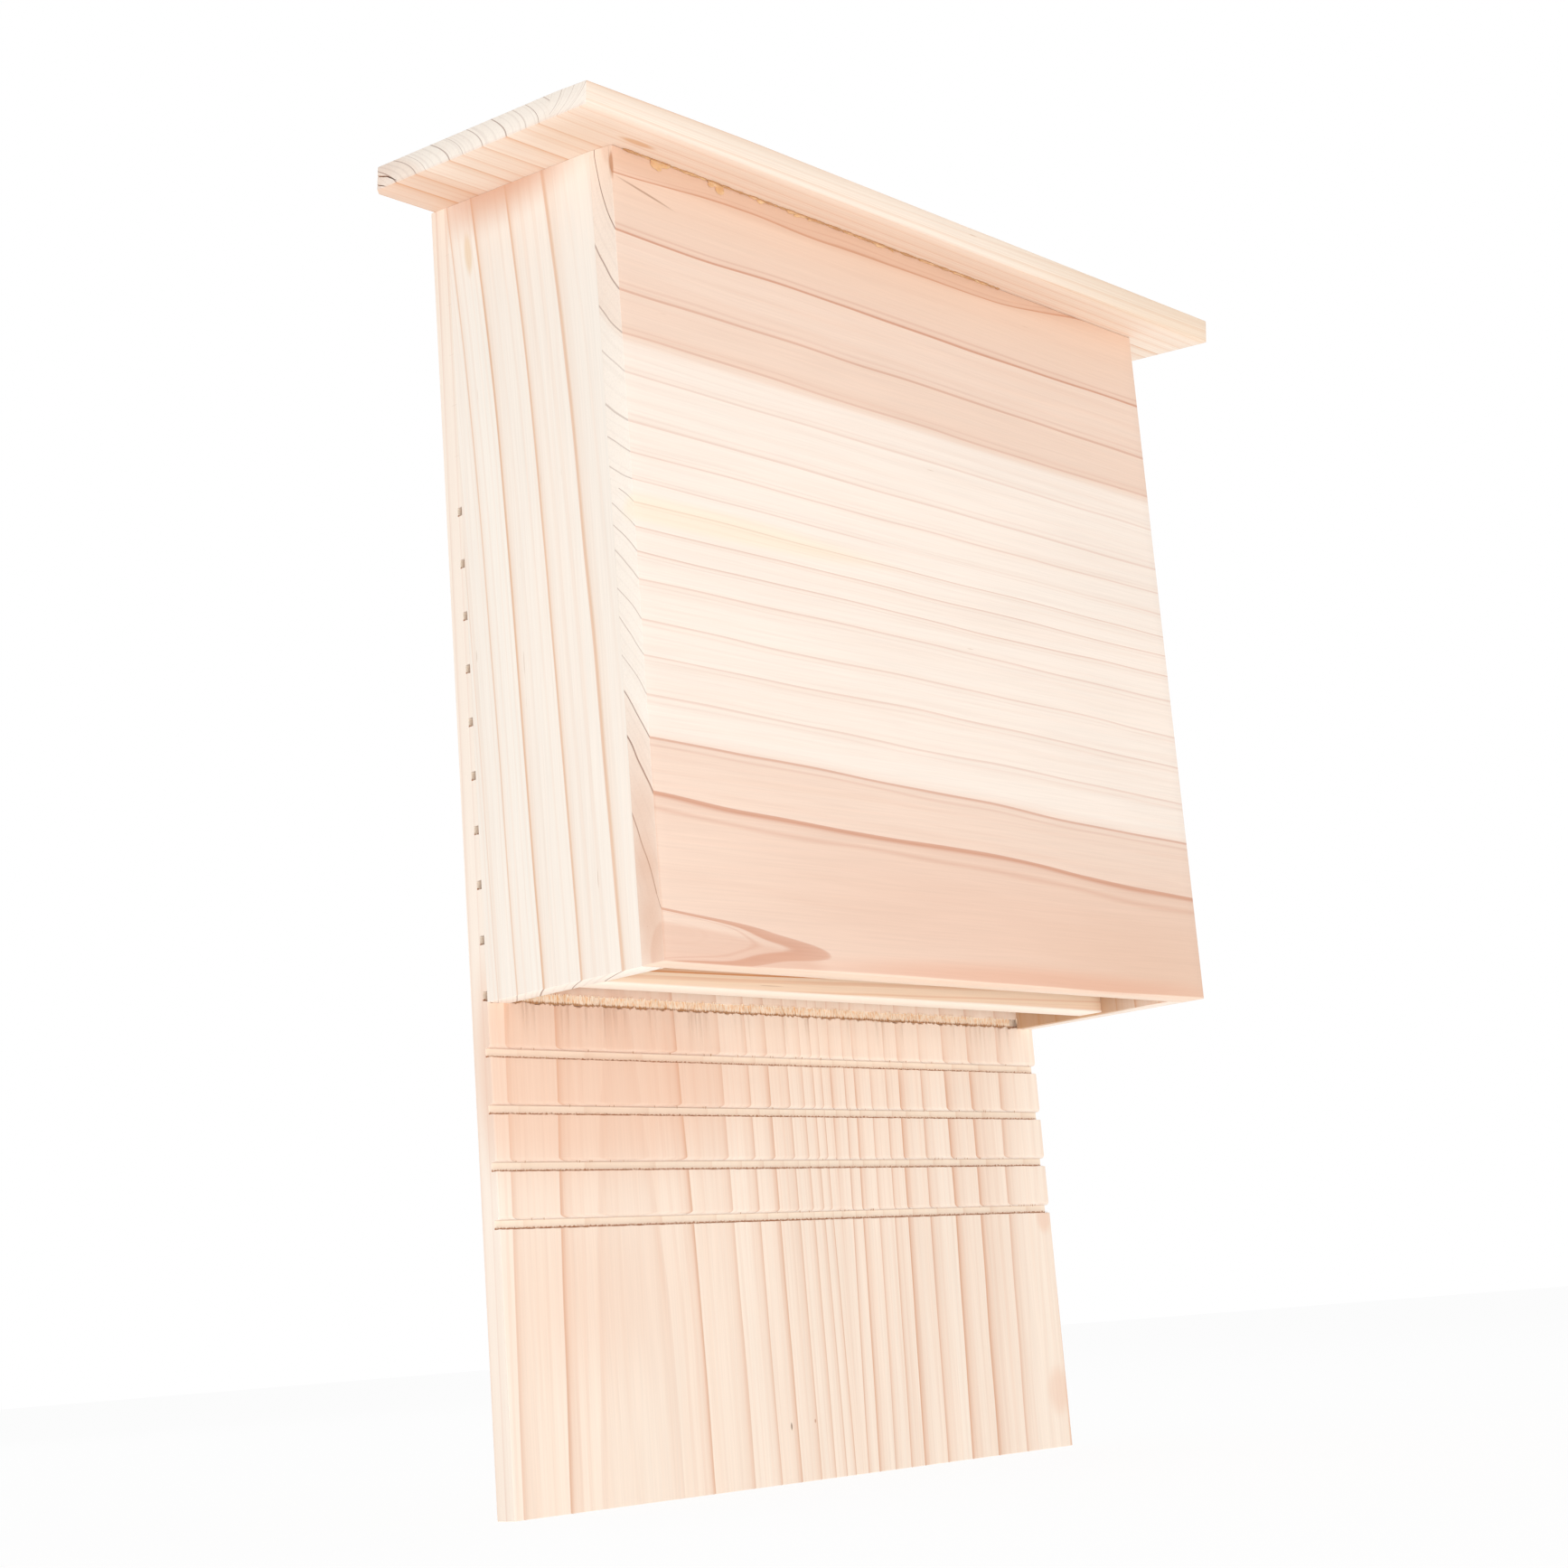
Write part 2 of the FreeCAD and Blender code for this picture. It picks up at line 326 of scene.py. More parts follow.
class BatBoxColours(bpy.types.PropertyGroup):
    """Colours that a user may change."""

    sapwood: FloatVectorProperty(
        name="Sapwood", description="Pale outer wood", subtype="COLOR", size=4, min=0, max=1,
        default=linear("FAF1E6"),
    )
    heartwood: FloatVectorProperty(
        name="Heartwood", description="Pinker inner wood", subtype="COLOR", size=4, min=0, max=1,
        default=linear("EFD5C2"),
    )
    latewood: FloatVectorProperty(
        name="Latewood", description="Line at the end of each growth ring", subtype="COLOR", size=4,
        min=0, max=1, default=linear("DA9B64"),
    )
    end_line: FloatVectorProperty(
        name="End grain line", description="Growth ring as it shows on sawn ends", subtype="COLOR",
        size=4, min=0, max=1, default=linear("A3877A"),
    )
    resin: FloatVectorProperty(
        name="Resin", description="Resin streak or dark fleck", subtype="COLOR", size=4, min=0, max=1,
        default=linear("A9743F"),
    )
    glue: FloatVectorProperty(
        name="Glue", description="Dried amber glue", subtype="COLOR", size=4, min=0, max=1,
        default=linear("D2A678"),
    )
    steel: FloatVectorProperty(
        name="Steel", description="Zinc-plated steel", subtype="COLOR", size=4, min=0, max=1,
        default=linear("C9CCD0"),
    )
    floor: FloatVectorProperty(
        name="Floor", description="Plain pale floor", subtype="COLOR", size=4, min=0, max=1,
        default=linear("F6F6F6"),
    )


# Nodes and materials


def add(tree, kind, links=None, **settings):
    """Adds a node. Links fill its sockets, each with a plain value or another node's output. Settings are its
    properties, or the stops of its ramp, step for a ramp without blends, or the points of its curve."""
    node = tree.nodes.new(kind)
    for key, value in settings.items():
        if key == "stops":
            ramp = node.color_ramp
            ramp.elements[0].position = value[0][0]
            ramp.elements[0].color = (*[value[0][1]] * 3, 1)
            ramp.elements[1].position = value[-1][0]
            ramp.elements[1].color = (*[value[-1][1]] * 3, 1)
            for place, shade in value[1:-1]:
                ramp.elements.new(place).color = (shade, shade, shade, 1)
        elif key == "step":
            node.color_ramp.interpolation = "CONSTANT"
        elif key == "points":
            curve = node.mapping.curves[0]
            curve.points[0].location = value[0]
            curve.points[1].location = value[-1]
            for point in value[1:-1]:
                curve.points.new(*point)
            for point in curve.points:
                point.handle_type = "VECTOR"
            node.mapping.update()
        else:
            setattr(node, key, value)
    for socket, source in (links or {}).items():
        if isinstance(source, bpy.types.NodeSocket):
            tree.links.new(source, node.inputs[socket])
        else:
            node.inputs[socket].default_value = source
    return node.outputs[0]


def blank_material(name):
    """A new material with only a Principled shader and its output, its node tree and that shader."""
    material = bpy.data.materials.new(name)
    material.use_nodes = True
    return material, material.node_tree, material.node_tree.nodes["Principled BSDF"]


def stave_rings(tree, spot, stave, grain):
    """The ring count, the share of heartwood and the force of the ring line at a place in a stave."""
    along = add(tree, "ShaderNodeVectorMath", {0: spot, 1: grain}, operation="DOT_PRODUCT")
    along = along.node.outputs["Value"]
    lean = tuple(a + b for a, b in zip(grain, stave["drift"]))
    carried = add(tree, "ShaderNodeVectorMath", {0: lean, "Scale": along}, operation="SCALE")
    across = add(tree, "ShaderNodeVectorMath", {0: spot, 1: carried}, operation="SUBTRACT")
    across = add(tree, "ShaderNodeVectorMath", {0: across, 1: stave["pith"]}, operation="SUBTRACT")
    radius = add(tree, "ShaderNodeVectorMath", {0: across}, operation="LENGTH")
    radius = radius.node.outputs["Value"]
    rings = stave["rings"]
    span = rings[-1] - rings[0]
    last = len(rings) - 1
    points = [((ring - rings[0]) / span, place / last) for place, ring in enumerate(rings)]
    share = add(tree, "ShaderNodeMapRange", {0: radius, 1: rings[0], 2: rings[-1]})
    count = add(tree, "ShaderNodeFloatCurve", {"Value": share}, points=points)
    count = add(tree, "ShaderNodeMath", {0: count, 1: float(last)}, operation="MULTIPLY")
    number = add(tree, "ShaderNodeMath", {0: count}, operation="FLOOR")
    number = add(tree, "ShaderNodeMath", {0: number, 1: float(last)}, operation="DIVIDE")
    # Each step begins slightly early, so that no ring takes the force of the one before.
    steps = [(max(0.0, place / last - 0.01), force) for place, force in enumerate(stave["force"])]
    steps.append((1.0, steps[-1][1]))
    force = add(tree, "ShaderNodeValToRGB", {"Fac": number}, stops=steps, step=True)
    # The heartwood's edge is 4 mm wide.
    heart = add(tree, "ShaderNodeMapRange",
                {0: radius, 1: stave["heart"] - 2, 2: stave["heart"] + 2, 3: 1.0, 4: 0.0},
                interpolation_type="SMOOTHSTEP")
    return count, heart, force


def stretched(tree, grain, source, across_mm, along_mm):
    """A place counted in lengths of a pattern, which is longer along the grain than across it."""
    scale = tuple(1 / along_mm if axis else 1 / across_mm for axis in grain)
    return add(tree, "ShaderNodeVectorMath", {0: source, 1: scale}, operation="MULTIPLY")


def bent_place(tree, spot, height, board, seed):
    """A place in a board, moved the way its grain bows, leans and wanders."""
    bent = spot
    if board["bow"]:
        # The rings bow within the board's thickness, most at half of it.
        rise = add(tree, "ShaderNodeMapRange", {0: height, 1: 0.0, 2: ROOF_THICKNESS / MM})
        fall = add(tree, "ShaderNodeMath", {0: 1.0, 1: rise}, operation="SUBTRACT")
        rise = add(tree, "ShaderNodeMath", {0: rise, 1: fall}, operation="MULTIPLY")
        rise = add(tree, "ShaderNodeVectorMath", {0: (0, board["bow"], 0), "Scale": rise}, operation="SCALE")
        bent = add(tree, "ShaderNodeVectorMath", {0: bent, 1: rise}, operation="ADD")
    if board["sway"]:
        # Near one end the grain leans.
        (low_end, high_end), reach = board["sway"]
        lean = add(tree, "ShaderNodeMapRange", {0: height, 1: low_end, 2: high_end})
        lean = add(tree, "ShaderNodeMath", {0: lean, 1: 2.0}, operation="POWER")
        lean = add(tree, "ShaderNodeVectorMath", {0: reach, "Scale": lean}, operation="SCALE")
        bent = add(tree, "ShaderNodeVectorMath", {0: bent, 1: lean}, operation="ADD")
    # Slow wander of the grain, 90 mm across and 300 mm along; then a finer one, 16 mm by 90 mm.
    for across_mm, along_mm, reach in ((90, 300, board["wander"]), (16, 90, board["ripple"])):
        field = stretched(tree, board["grain"], spot, across_mm, along_mm)
        field = add(tree, "ShaderNodeVectorMath", {0: field, 1: (seed, seed * 2, seed * 3)}, operation="ADD")
        field = add(tree, "ShaderNodeTexNoise", {"Vector": field, "Scale": 1.0, "Detail": 1.0})
        field = field.node.outputs["Color"]
        field = add(tree, "ShaderNodeVectorMath", {0: field, 1: (0.5, 0.5, 0.5)}, operation="SUBTRACT")
        field = add(tree, "ShaderNodeVectorMath", {0: field, "Scale": reach}, operation="SCALE")
        bent = add(tree, "ShaderNodeVectorMath", {0: bent, 1: field}, operation="ADD")
    return bent


def board_rings(tree, parts, bent, board):
    """The ring count, the share of heartwood and the force of the ring line, of the stave at each place."""
    staves = [stave_rings(tree, bent, stave, board["grain"]) for stave in board["staves"]]
    here = staves[0]
    for (axis, joint), following in zip(board["joints"], staves[1:]):
        beyond = add(tree, "ShaderNodeMath", {0: parts[axis], 1: joint}, operation="GREATER_THAN")
        pairs = zip(here, following)
        here = [add(tree, "ShaderNodeMix", {0: beyond, 2: before, 3: after}) for before, after in pairs]
    return here


def ring_line(tree, count, force, end, board):
    """How dark the ring lines are: soft on planed faces, thin and sharp on sawn ends."""
    within = add(tree, "ShaderNodeMath", {0: count}, operation="FRACT")
    on_face = add(tree, "ShaderNodeValToRGB", {"Fac": within}, stops=board["latewood"])
    on_end = add(tree, "ShaderNodeMapRange", {0: within, 1: 0.93, 2: 0.97}, interpolation_type="SMOOTHSTEP")
    line = add(tree, "ShaderNodeMix", {0: end, 2: on_face, 3: on_end})
    line = add(tree, "ShaderNodeMath", {0: line, 1: force}, operation="MULTIPLY")
    # Each ring also holds fainter lines, from the dry and wet weeks of its summer.
    weeks = add(tree, "ShaderNodeMath", {0: count, 1: 3.7}, operation="MULTIPLY")
    weeks = add(tree, "ShaderNodeTexNoise", {"W": weeks, "Scale": 1.6, "Detail": 1.5}, noise_dimensions="1D")
    weeks = add(tree, "ShaderNodeMapRange", {0: weeks, 1: 0.52, 2: 0.68, 3: 0.0, 4: board["weeks"]})
    return add(tree, "ShaderNodeMath", {0: line, 1: weeks}, operation="ADD")


def heartwood_share(tree, count, heart, end, bent, board):
    """How pink the wood is. No two rings have the same tone, and soft streaks run along the fibres."""
    pink = add(tree, "ShaderNodeMapRange", {0: heart, 3: board["pink"][0], 4: board["pink"][1]})
    whole = add(tree, "ShaderNodeMath", {0: count}, operation="FLOOR")
    own = add(tree, "ShaderNodeTexWhiteNoise", {"W": whole}, noise_dimensions="1D")
    # A streak is about 3.5 mm wide and 150 mm long.
    streak = stretched(tree, board["grain"], bent, 3.5, 150)
    streak = add(tree, "ShaderNodeTexNoise", {"Vector": streak, "Scale": 1.0, "Detail": 2.0})
    streak = add(tree, "ShaderNodeMapRange", {0: streak, 1: 0.45, 2: 0.7, 4: 1.2})
    own = add(tree, "ShaderNodeMath", {0: own, 1: streak}, operation="ADD")
    pink = add(tree, "ShaderNodeMath", {0: own, 1: board["shift"], 2: pink}, operation="MULTIPLY_ADD")
    paler = add(tree, "ShaderNodeMapRange", {0: end, 3: 1.0, 4: 0.55})
    return add(tree, "ShaderNodeMath", {0: pink, 1: paler}, operation="MULTIPLY")


def softwood(name, board, colours, seed, turned=False, marks=()):
    """Planed spruce or pine, unfinished: pale cream sapwood and pinker heartwood, a thin darker line where
    each growth ring ends, fine fibres along the grain, and greyer, sharper ring lines on sawn ends. Dull,
    with no sheen of varnish. The seed gives each board bends of its own, and a turned board lies in the
    slope of the roof."""
    material, tree, shader = blank_material(name)
    grain = board["grain"]
    texture = add(tree, "ShaderNodeTexCoord").node
    spot = add(tree, "ShaderNodeVectorMath",
               {0: texture.outputs["Object"], "Scale": 1 / MM}, operation="SCALE")
    if turned:
        spot = add(tree, "ShaderNodeMapping",
                   {"Vector": spot, "Location": (0, 0, ROOF_AT_WALL / MM), "Rotation": (ROOF_SLOPE, 0, 0)},
                   vector_type="TEXTURE")
    parts = add(tree, "ShaderNodeSeparateXYZ", {0: spot}).node.outputs
    bent = bent_place(tree, spot, parts["Z"], board, seed)
    end = add(tree, "ShaderNodeVectorMath", {0: texture.outputs["Normal"], 1: grain}, operation="DOT_PRODUCT")
    end = add(tree, "ShaderNodeMath", {0: end.node.outputs["Value"]}, operation="ABSOLUTE")
    end = add(tree, "ShaderNodeMapRange", {0: end, 1: 0.5, 2: 0.9}, interpolation_type="SMOOTHSTEP")
    count, heart, force = board_rings(tree, parts, bent, board)
    line = ring_line(tree, count, force, end, board)
    pink = heartwood_share(tree, count, heart, end, bent, board)

    wood = add(tree, "ShaderNodeMix",
               {0: pink, 6: tuple(colours.sapwood), 7: tuple(colours.heartwood)},
               data_type="RGBA").node.outputs[2]
    face_line = linear(board["line"]) if board["line"] else tuple(colours.latewood)
    dark = add(tree, "ShaderNodeMix",
               {0: end, 6: face_line, 7: tuple(colours.end_line)}, data_type="RGBA").node.outputs[2]
    share = add(tree, "ShaderNodeMapRange", {0: end, 3: board["contrast"], 4: 0.9})
    share = add(tree, "ShaderNodeMath", {0: line, 1: share}, operation="MULTIPLY")
    wood = add(tree, "ShaderNodeMix", {0: share, 6: wood, 7: dark}, data_type="RGBA").node.outputs[2]

    # Fibres are 0.02 mm wide in truth; they are drawn 0.7 mm wide and 40 mm long so that they show. Clouds
    # of tone are about 40 mm by 160 mm, and dark flecks 1.1 mm by 14 mm.
    fibre = stretched(tree, grain, bent, 0.7, 40)
    fibre = add(tree, "ShaderNodeTexNoise", {"Vector": fibre, "Scale": 1.0, "Detail": 3.0})
    shade = add(tree, "ShaderNodeMapRange", {0: fibre, 1: 0.3, 2: 0.7, 3: 0.965, 4: 1.02})
    cloud = stretched(tree, grain, spot, 40, 160)
    cloud = add(tree, "ShaderNodeTexNoise", {"Vector": cloud, "Scale": 1.0, "Detail": 2.0})
    cloud = add(tree, "ShaderNodeMapRange", {0: cloud, 1: 0.3, 2: 0.7, 3: 0.975, 4: 1.015})
    shade = add(tree, "ShaderNodeMath", {0: shade, 1: cloud}, operation="MULTIPLY")
    lift = add(tree, "ShaderNodeMapRange", {0: end, 3: 1.0, 4: 1.01})
    shade = add(tree, "ShaderNodeMath", {0: shade, 1: lift}, operation="MULTIPLY")
    wood = add(tree, "ShaderNodeVectorMath", {0: wood, "Scale": shade}, operation="SCALE")
    tone = add(tree, "ShaderNodeMix", {0: end, 4: board["tint"], 5: (1, 0.995, 0.99)}, data_type="VECTOR")
    wood = add(tree, "ShaderNodeVectorMath", {0: wood, 1: tone.node.outputs[1]}, operation="MULTIPLY")
    fleck = stretched(tree, grain, spot, 1.1, 14)
    fleck = add(tree, "ShaderNodeTexNoise", {"Vector": fleck, "Scale": 1.0, "Detail": 0.0})
    fleck = add(tree, "ShaderNodeMapRange", {0: fleck, 1: 0.87, 2: 0.92, 4: 0.3})
    wood = add(tree, "ShaderNodeMix",
               {0: fleck, 6: wood, 7: tuple(colours.resin)}, data_type="RGBA").node.outputs[2]
    # Marks give real tinges of the wood, and also painted shade and painted light.
    for tinge_or_painted_light in marks:
        near = add(tree, "ShaderNodeMapping",
                   {"Vector": bent, "Location": tinge_or_painted_light["place"], "Rotation": tinge_or_painted_light["turn"],
                    "Scale": tinge_or_painted_light["reach"]}, vector_type="TEXTURE")
        near = add(tree, "ShaderNodeVectorMath", {0: near}, operation="LENGTH").node.outputs["Value"]
        near = add(tree, "ShaderNodeMapRange",
                   {0: near, 1: 1.0, 2: tinge_or_painted_light["core"], 3: 0.0, 4: tinge_or_painted_light["share"]},
                   interpolation_type="SMOOTHSTEP")
        wood = add(tree, "ShaderNodeMix",
                   {0: near, 6: wood, 7: tinge_or_painted_light["colour"]}, data_type="RGBA").node.outputs[2]
    tree.links.new(wood, shader.inputs["Base Color"])

    rough = add(tree, "ShaderNodeMapRange", {0: fibre, 1: 0.3, 2: 0.7, 3: 0.66, 4: 0.56})
    rougher = add(tree, "ShaderNodeMapRange", {0: end, 3: 0.0, 4: 0.18})
    rough = add(tree, "ShaderNodeMath", {0: rough, 1: rougher}, operation="ADD")
    tree.links.new(rough, shader.inputs["Roughness"])
    shader.inputs["Specular IOR Level"].default_value = 0.35

    # Saw marks on the ends, drawn 0.5 mm apart, and the raised latewood lines of planed faces.
    sawn = add(tree, "ShaderNodeTexNoise", {"Vector": spot, "Scale": 1.8, "Detail": 2.0})
    sawn = add(tree, "ShaderNodeMath", {0: sawn, 1: end}, operation="MULTIPLY")
    relief = add(tree, "ShaderNodeMath", {0: line, 1: 0.35, 2: sawn}, operation="MULTIPLY_ADD")
    relief = add(tree, "ShaderNodeMath", {0: fibre, 1: 0.6, 2: relief}, operation="MULTIPLY_ADD")
    bump = add(tree, "ShaderNodeBump", {"Height": relief, "Strength": 0.35, "Distance": 0.15 * MM})
    tree.links.new(bump, shader.inputs["Normal"])
    return material


def mark(place, reach, share, colour, core=0.4, turn=0):
    """A soft ellipsoid in which wood takes another colour: its middle and radii in millimetres, how much of
    the colour shows, the part of each radius that doesn't fade, and its turn in degrees, seen from ahead."""
    return {
        "place": place, "reach": reach, "share": share, "colour": linear(colour),
        "core": core, "turn": (0, math.radians(turn), 0),
    }


def groove_top(sizes, number):
    """Height of a groove's upper lip."""
    return sizes.first_groove - sizes.groove_pitch * number


def tone_grooves_and_paint_shade(material, sizes, face):
    """Where the cutter ran, the wood is yellower and paler: fresh wood, and painted light that offsets the
    shade inside the grooves. A brown line follows each lower lip, painted shade of the groove's deep corner
    with saw burn, and a thin greyish line at each upper lip is painted shade of the lip's edge.
    """
    tree = material.node_tree
    colour = tree.nodes["Principled BSDF"].inputs["Base Color"]
    wood = colour.links[0].from_socket
    slack = 0.1 * MM
    place = add(tree, "ShaderNodeTexCoord").node.outputs["Object"]
    parts = add(tree, "ShaderNodeSeparateXYZ", {0: place}).node.outputs
    fall = add(tree, "ShaderNodeMath", {0: sizes.first_groove, 1: parts["Z"]}, operation="SUBTRACT")
    last = sizes.groove_pitch * (sizes.groove_count - 0.5)
    grooved = add(tree, "ShaderNodeMath", {0: fall, 1: last}, operation="LESS_THAN")
    within = add(tree, "ShaderNodeMath", {0: fall, 1: sizes.groove_pitch}, operation="MODULO")
    front = add(tree, "ShaderNodeMath",
                {0: parts["Y"], 1: face + sizes.groove_depth + slack}, operation="LESS_THAN")
    grooved = add(tree, "ShaderNodeMath", {0: grooved, 1: front}, operation="MULTIPLY")
    deep = add(tree, "ShaderNodeMapRange", {0: parts["Y"], 1: face + 0.2 * MM, 2: face + 0.7 * MM})
    under = add(tree, "ShaderNodeMath", {0: within, 1: -slack}, operation="GREATER_THAN")
    over = add(tree, "ShaderNodeMath", {0: within, 1: sizes.groove_height + slack}, operation="LESS_THAN")
    cut = add(tree, "ShaderNodeMath", {0: under, 1: over}, operation="MULTIPLY")
    cut = add(tree, "ShaderNodeMath", {0: cut, 1: deep}, operation="MULTIPLY")
    cut = add(tree, "ShaderNodeMath", {0: cut, 1: grooved}, operation="MULTIPLY")
    # Painted light: the cut wood is made paler, partly as fresh wood and partly to offset the shade in the
    # grooves.
    fresh_and_painted_light = add(tree, "ShaderNodeMath", {0: cut, 1: 0.62}, operation="MULTIPLY")
    # The brown line of painted shade and saw burn darkens over 0.65 mm down to the lower lip, and wavers by
    # 0.35 mm every 1 mm or so.
    waver = add(tree, "ShaderNodeTexNoise", {"Vector": place, "Scale": 900.0, "Detail": 2.0})
    waver = add(tree, "ShaderNodeMapRange", {0: waver, 1: 0.3, 2: 0.7, 3: -0.35 * MM, 4: 0.35 * MM})
    lip_shade_and_burn = add(tree, "ShaderNodeMath", {0: within, 1: waver}, operation="ADD")
    lip_shade_and_burn = add(tree, "ShaderNodeMapRange",
                 {0: lip_shade_and_burn, 1: 2.35 * MM, 2: 3.0 * MM, 3: 0.0, 4: 0.9}, interpolation_type="SMOOTHSTEP")
    lip_shade_and_burn = add(tree, "ShaderNodeMath", {0: lip_shade_and_burn, 1: cut}, operation="MULTIPLY")
    # Painted shade: a thin greyish line along each upper lip, where its edge steps in.
    lip = add(tree, "ShaderNodeMath", {0: within, 1: 0.05 * MM, 2: 0.17 * MM}, operation="COMPARE")
    lip = add(tree, "ShaderNodeMath", {0: lip, 1: grooved}, operation="MULTIPLY")
    lip = add(tree, "ShaderNodeMath", {0: lip, 1: 0.35}, operation="MULTIPLY")
    for share, code in ((fresh_and_painted_light, "FFF1DC"), (lip_shade_and_burn, "AC6C3A"), (lip, "B59A90")):
        wood = add(tree, "ShaderNodeMix",
                   {0: share, 6: wood, 7: linear(code)}, data_type="RGBA").node.outputs[2]
    tree.links.new(wood, colour)


def torn_fibres(name, sizes):
    """Torn fibres of the same wood: straw-coloured, dull and loose, darkening to brown at the torn groove's
    lower lip, which is painted shadow of the ragged lip. The clouds of tone are drawn as fibres, about 0.6 mm
    wide and 2.6 mm long."""
    material, tree, shader = blank_material(name)
    foot_height = groove_top(sizes, TORN_GROOVE) - sizes.groove_height
    place = add(tree, "ShaderNodeTexCoord").node.outputs["Object"]
    cloud = add(tree, "ShaderNodeVectorMath", {0: place, 1: (1800, 700, 380)}, operation="MULTIPLY")
    cloud = add(tree, "ShaderNodeTexNoise", {"Vector": cloud, "Scale": 1.0, "Detail": 2.0})
    share = add(tree, "ShaderNodeMapRange", {0: cloud, 1: 0.3, 2: 0.55})
    colour = add(tree, "ShaderNodeMix",
                 {0: share, 6: linear("F2C28E"), 7: linear("FFEFDA")}, data_type="RGBA").node.outputs[2]
    height = add(tree, "ShaderNodeSeparateXYZ", {0: place}).node.outputs["Z"]
    # Painted shadow: near the torn groove's lower lip the fibres turn brown, as the ragged lip shades them.
    foot = add(tree, "ShaderNodeMath", {0: cloud, 1: 1.6 * MM, 2: height}, operation="MULTIPLY_ADD")
    foot = add(tree, "ShaderNodeMapRange",
               {0: foot, 1: foot_height + 0.8 * MM, 2: foot_height + 1.6 * MM, 3: 0.8, 4: 0.0},
               interpolation_type="SMOOTHSTEP")
    colour = add(tree, "ShaderNodeMix",
                 {0: foot, 6: colour, 7: linear("A97038")}, data_type="RGBA").node.outputs[2]
    tree.links.new(colour, shader.inputs["Base Color"])
    shader.inputs["Roughness"].default_value = 0.8
    shader.inputs["Specular IOR Level"].default_value = 0.2
    return material


def dried_glue(name, colours):
    """Dried wood glue, clear amber: warm, half see-through, with soft wet-looking highlights."""
    material, tree, shader = blank_material(name)
    place = add(tree, "ShaderNodeTexCoord").node.outputs["Object"]
    cloud = add(tree, "ShaderNodeTexNoise", {"Vector": place, "Scale": 220.0, "Detail": 3.0})
    share = add(tree, "ShaderNodeMapRange", {0: cloud, 1: 0.35, 2: 0.65})
    colour = add(tree, "ShaderNodeMix",
                 {0: share, 6: tuple(colours.glue), 7: linear("E3BD92")}, data_type="RGBA").node.outputs[2]
    # Darker crumbs, most of them along the bead's upper edge.
    crumbs = add(tree, "ShaderNodeVectorMath", {0: place, 1: (120, 700, 700)}, operation="MULTIPLY")
    crumbs = add(tree, "ShaderNodeTexNoise", {"Vector": crumbs, "Scale": 1.0, "Detail": 2.0})
    height = add(tree, "ShaderNodeSeparateXYZ", {0: place}).node.outputs["Z"]
    height = add(tree, "ShaderNodeMapRange", {0: height, 1: -36.9 * MM, 2: -36.1 * MM, 3: 0.0, 4: 0.6})
    crumbs = add(tree, "ShaderNodeMath", {0: crumbs, 1: height}, operation="ADD")
    crumbs = add(tree, "ShaderNodeMapRange", {0: crumbs, 1: 0.62, 2: 0.85, 3: 0.0, 4: 0.65})
    colour = add(tree, "ShaderNodeMix",
                 {0: crumbs, 6: colour, 7: linear("A06A38")}, data_type="RGBA").node.outputs[2]
    tree.links.new(colour, shader.inputs["Base Color"])
    rough = add(tree, "ShaderNodeMapRange", {0: cloud, 3: 0.35, 4: 0.6})
    tree.links.new(rough, shader.inputs["Roughness"])
    shader.inputs["Subsurface Weight"].default_value = 0.35
    shader.inputs["Subsurface Radius"].default_value = (0.9, 0.5, 0.2)
    shader.inputs["Subsurface Scale"].default_value = 1.2 * MM
    shader.inputs["IOR"].default_value = 1.48
    bump = add(tree, "ShaderNodeBump", {"Height": cloud, "Strength": 0.25, "Distance": 0.2 * MM})
    tree.links.new(bump, shader.inputs["Normal"])
    return material


def zinc_steel(name, colours):
    """Pressed steel with bright zinc plating: cool grey metal, slightly cloudy, finely scratched."""
    material, tree, shader = blank_material(name)
    place = add(tree, "ShaderNodeTexCoord").node.outputs["Object"]
    cloud = add(tree, "ShaderNodeTexNoise", {"Vector": place, "Scale": 260.0, "Detail": 4.0})
    shade = add(tree, "ShaderNodeMapRange", {0: cloud, 1: 0.3, 2: 0.7, 3: 0.86, 4: 1.0})
    colour = add(tree, "ShaderNodeVectorMath",
                 {0: tuple(colours.steel)[:3], "Scale": shade}, operation="SCALE")
    tree.links.new(colour, shader.inputs["Base Color"])
    shader.inputs["Metallic"].default_value = 1.0
    scratch = add(tree, "ShaderNodeVectorMath", {0: place, 1: (4000, 4000, 250)}, operation="MULTIPLY")
    scratch = add(tree, "ShaderNodeTexNoise", {"Vector": scratch, "Scale": 1.0, "Detail": 2.0})
    rough = add(tree, "ShaderNodeMapRange", {0: scratch, 1: 0.3, 2: 0.7, 3: 0.28, 4: 0.46})
    tree.links.new(rough, shader.inputs["Roughness"])
    bump = add(tree, "ShaderNodeBump", {"Height": scratch, "Strength": 0.12, "Distance": 0.05 * MM})
    tree.links.new(bump, shader.inputs["Normal"])
    return material


# Modelling


def only(piece):
    """Goes into object mode, with nothing selected but this piece."""
    if bpy.context.object and bpy.context.object.mode != "OBJECT":
        bpy.ops.object.mode_set(mode="OBJECT")
    bpy.ops.object.select_all(action="DESELECT")
    if piece:
        piece.select_set(True)
        bpy.context.view_layer.objects.active = piece


def edit(piece):
    """Goes into edit mode on one piece."""
    only(piece)
    bpy.ops.object.mode_set(mode="EDIT")


def settle(piece, name):
    """Names a new piece and moves its place, turn and scale into its mesh."""
    piece.name = name
    piece.data.name = name
    only(piece)
    bpy.ops.object.transform_apply(location=True, rotation=True, scale=True)
    return piece


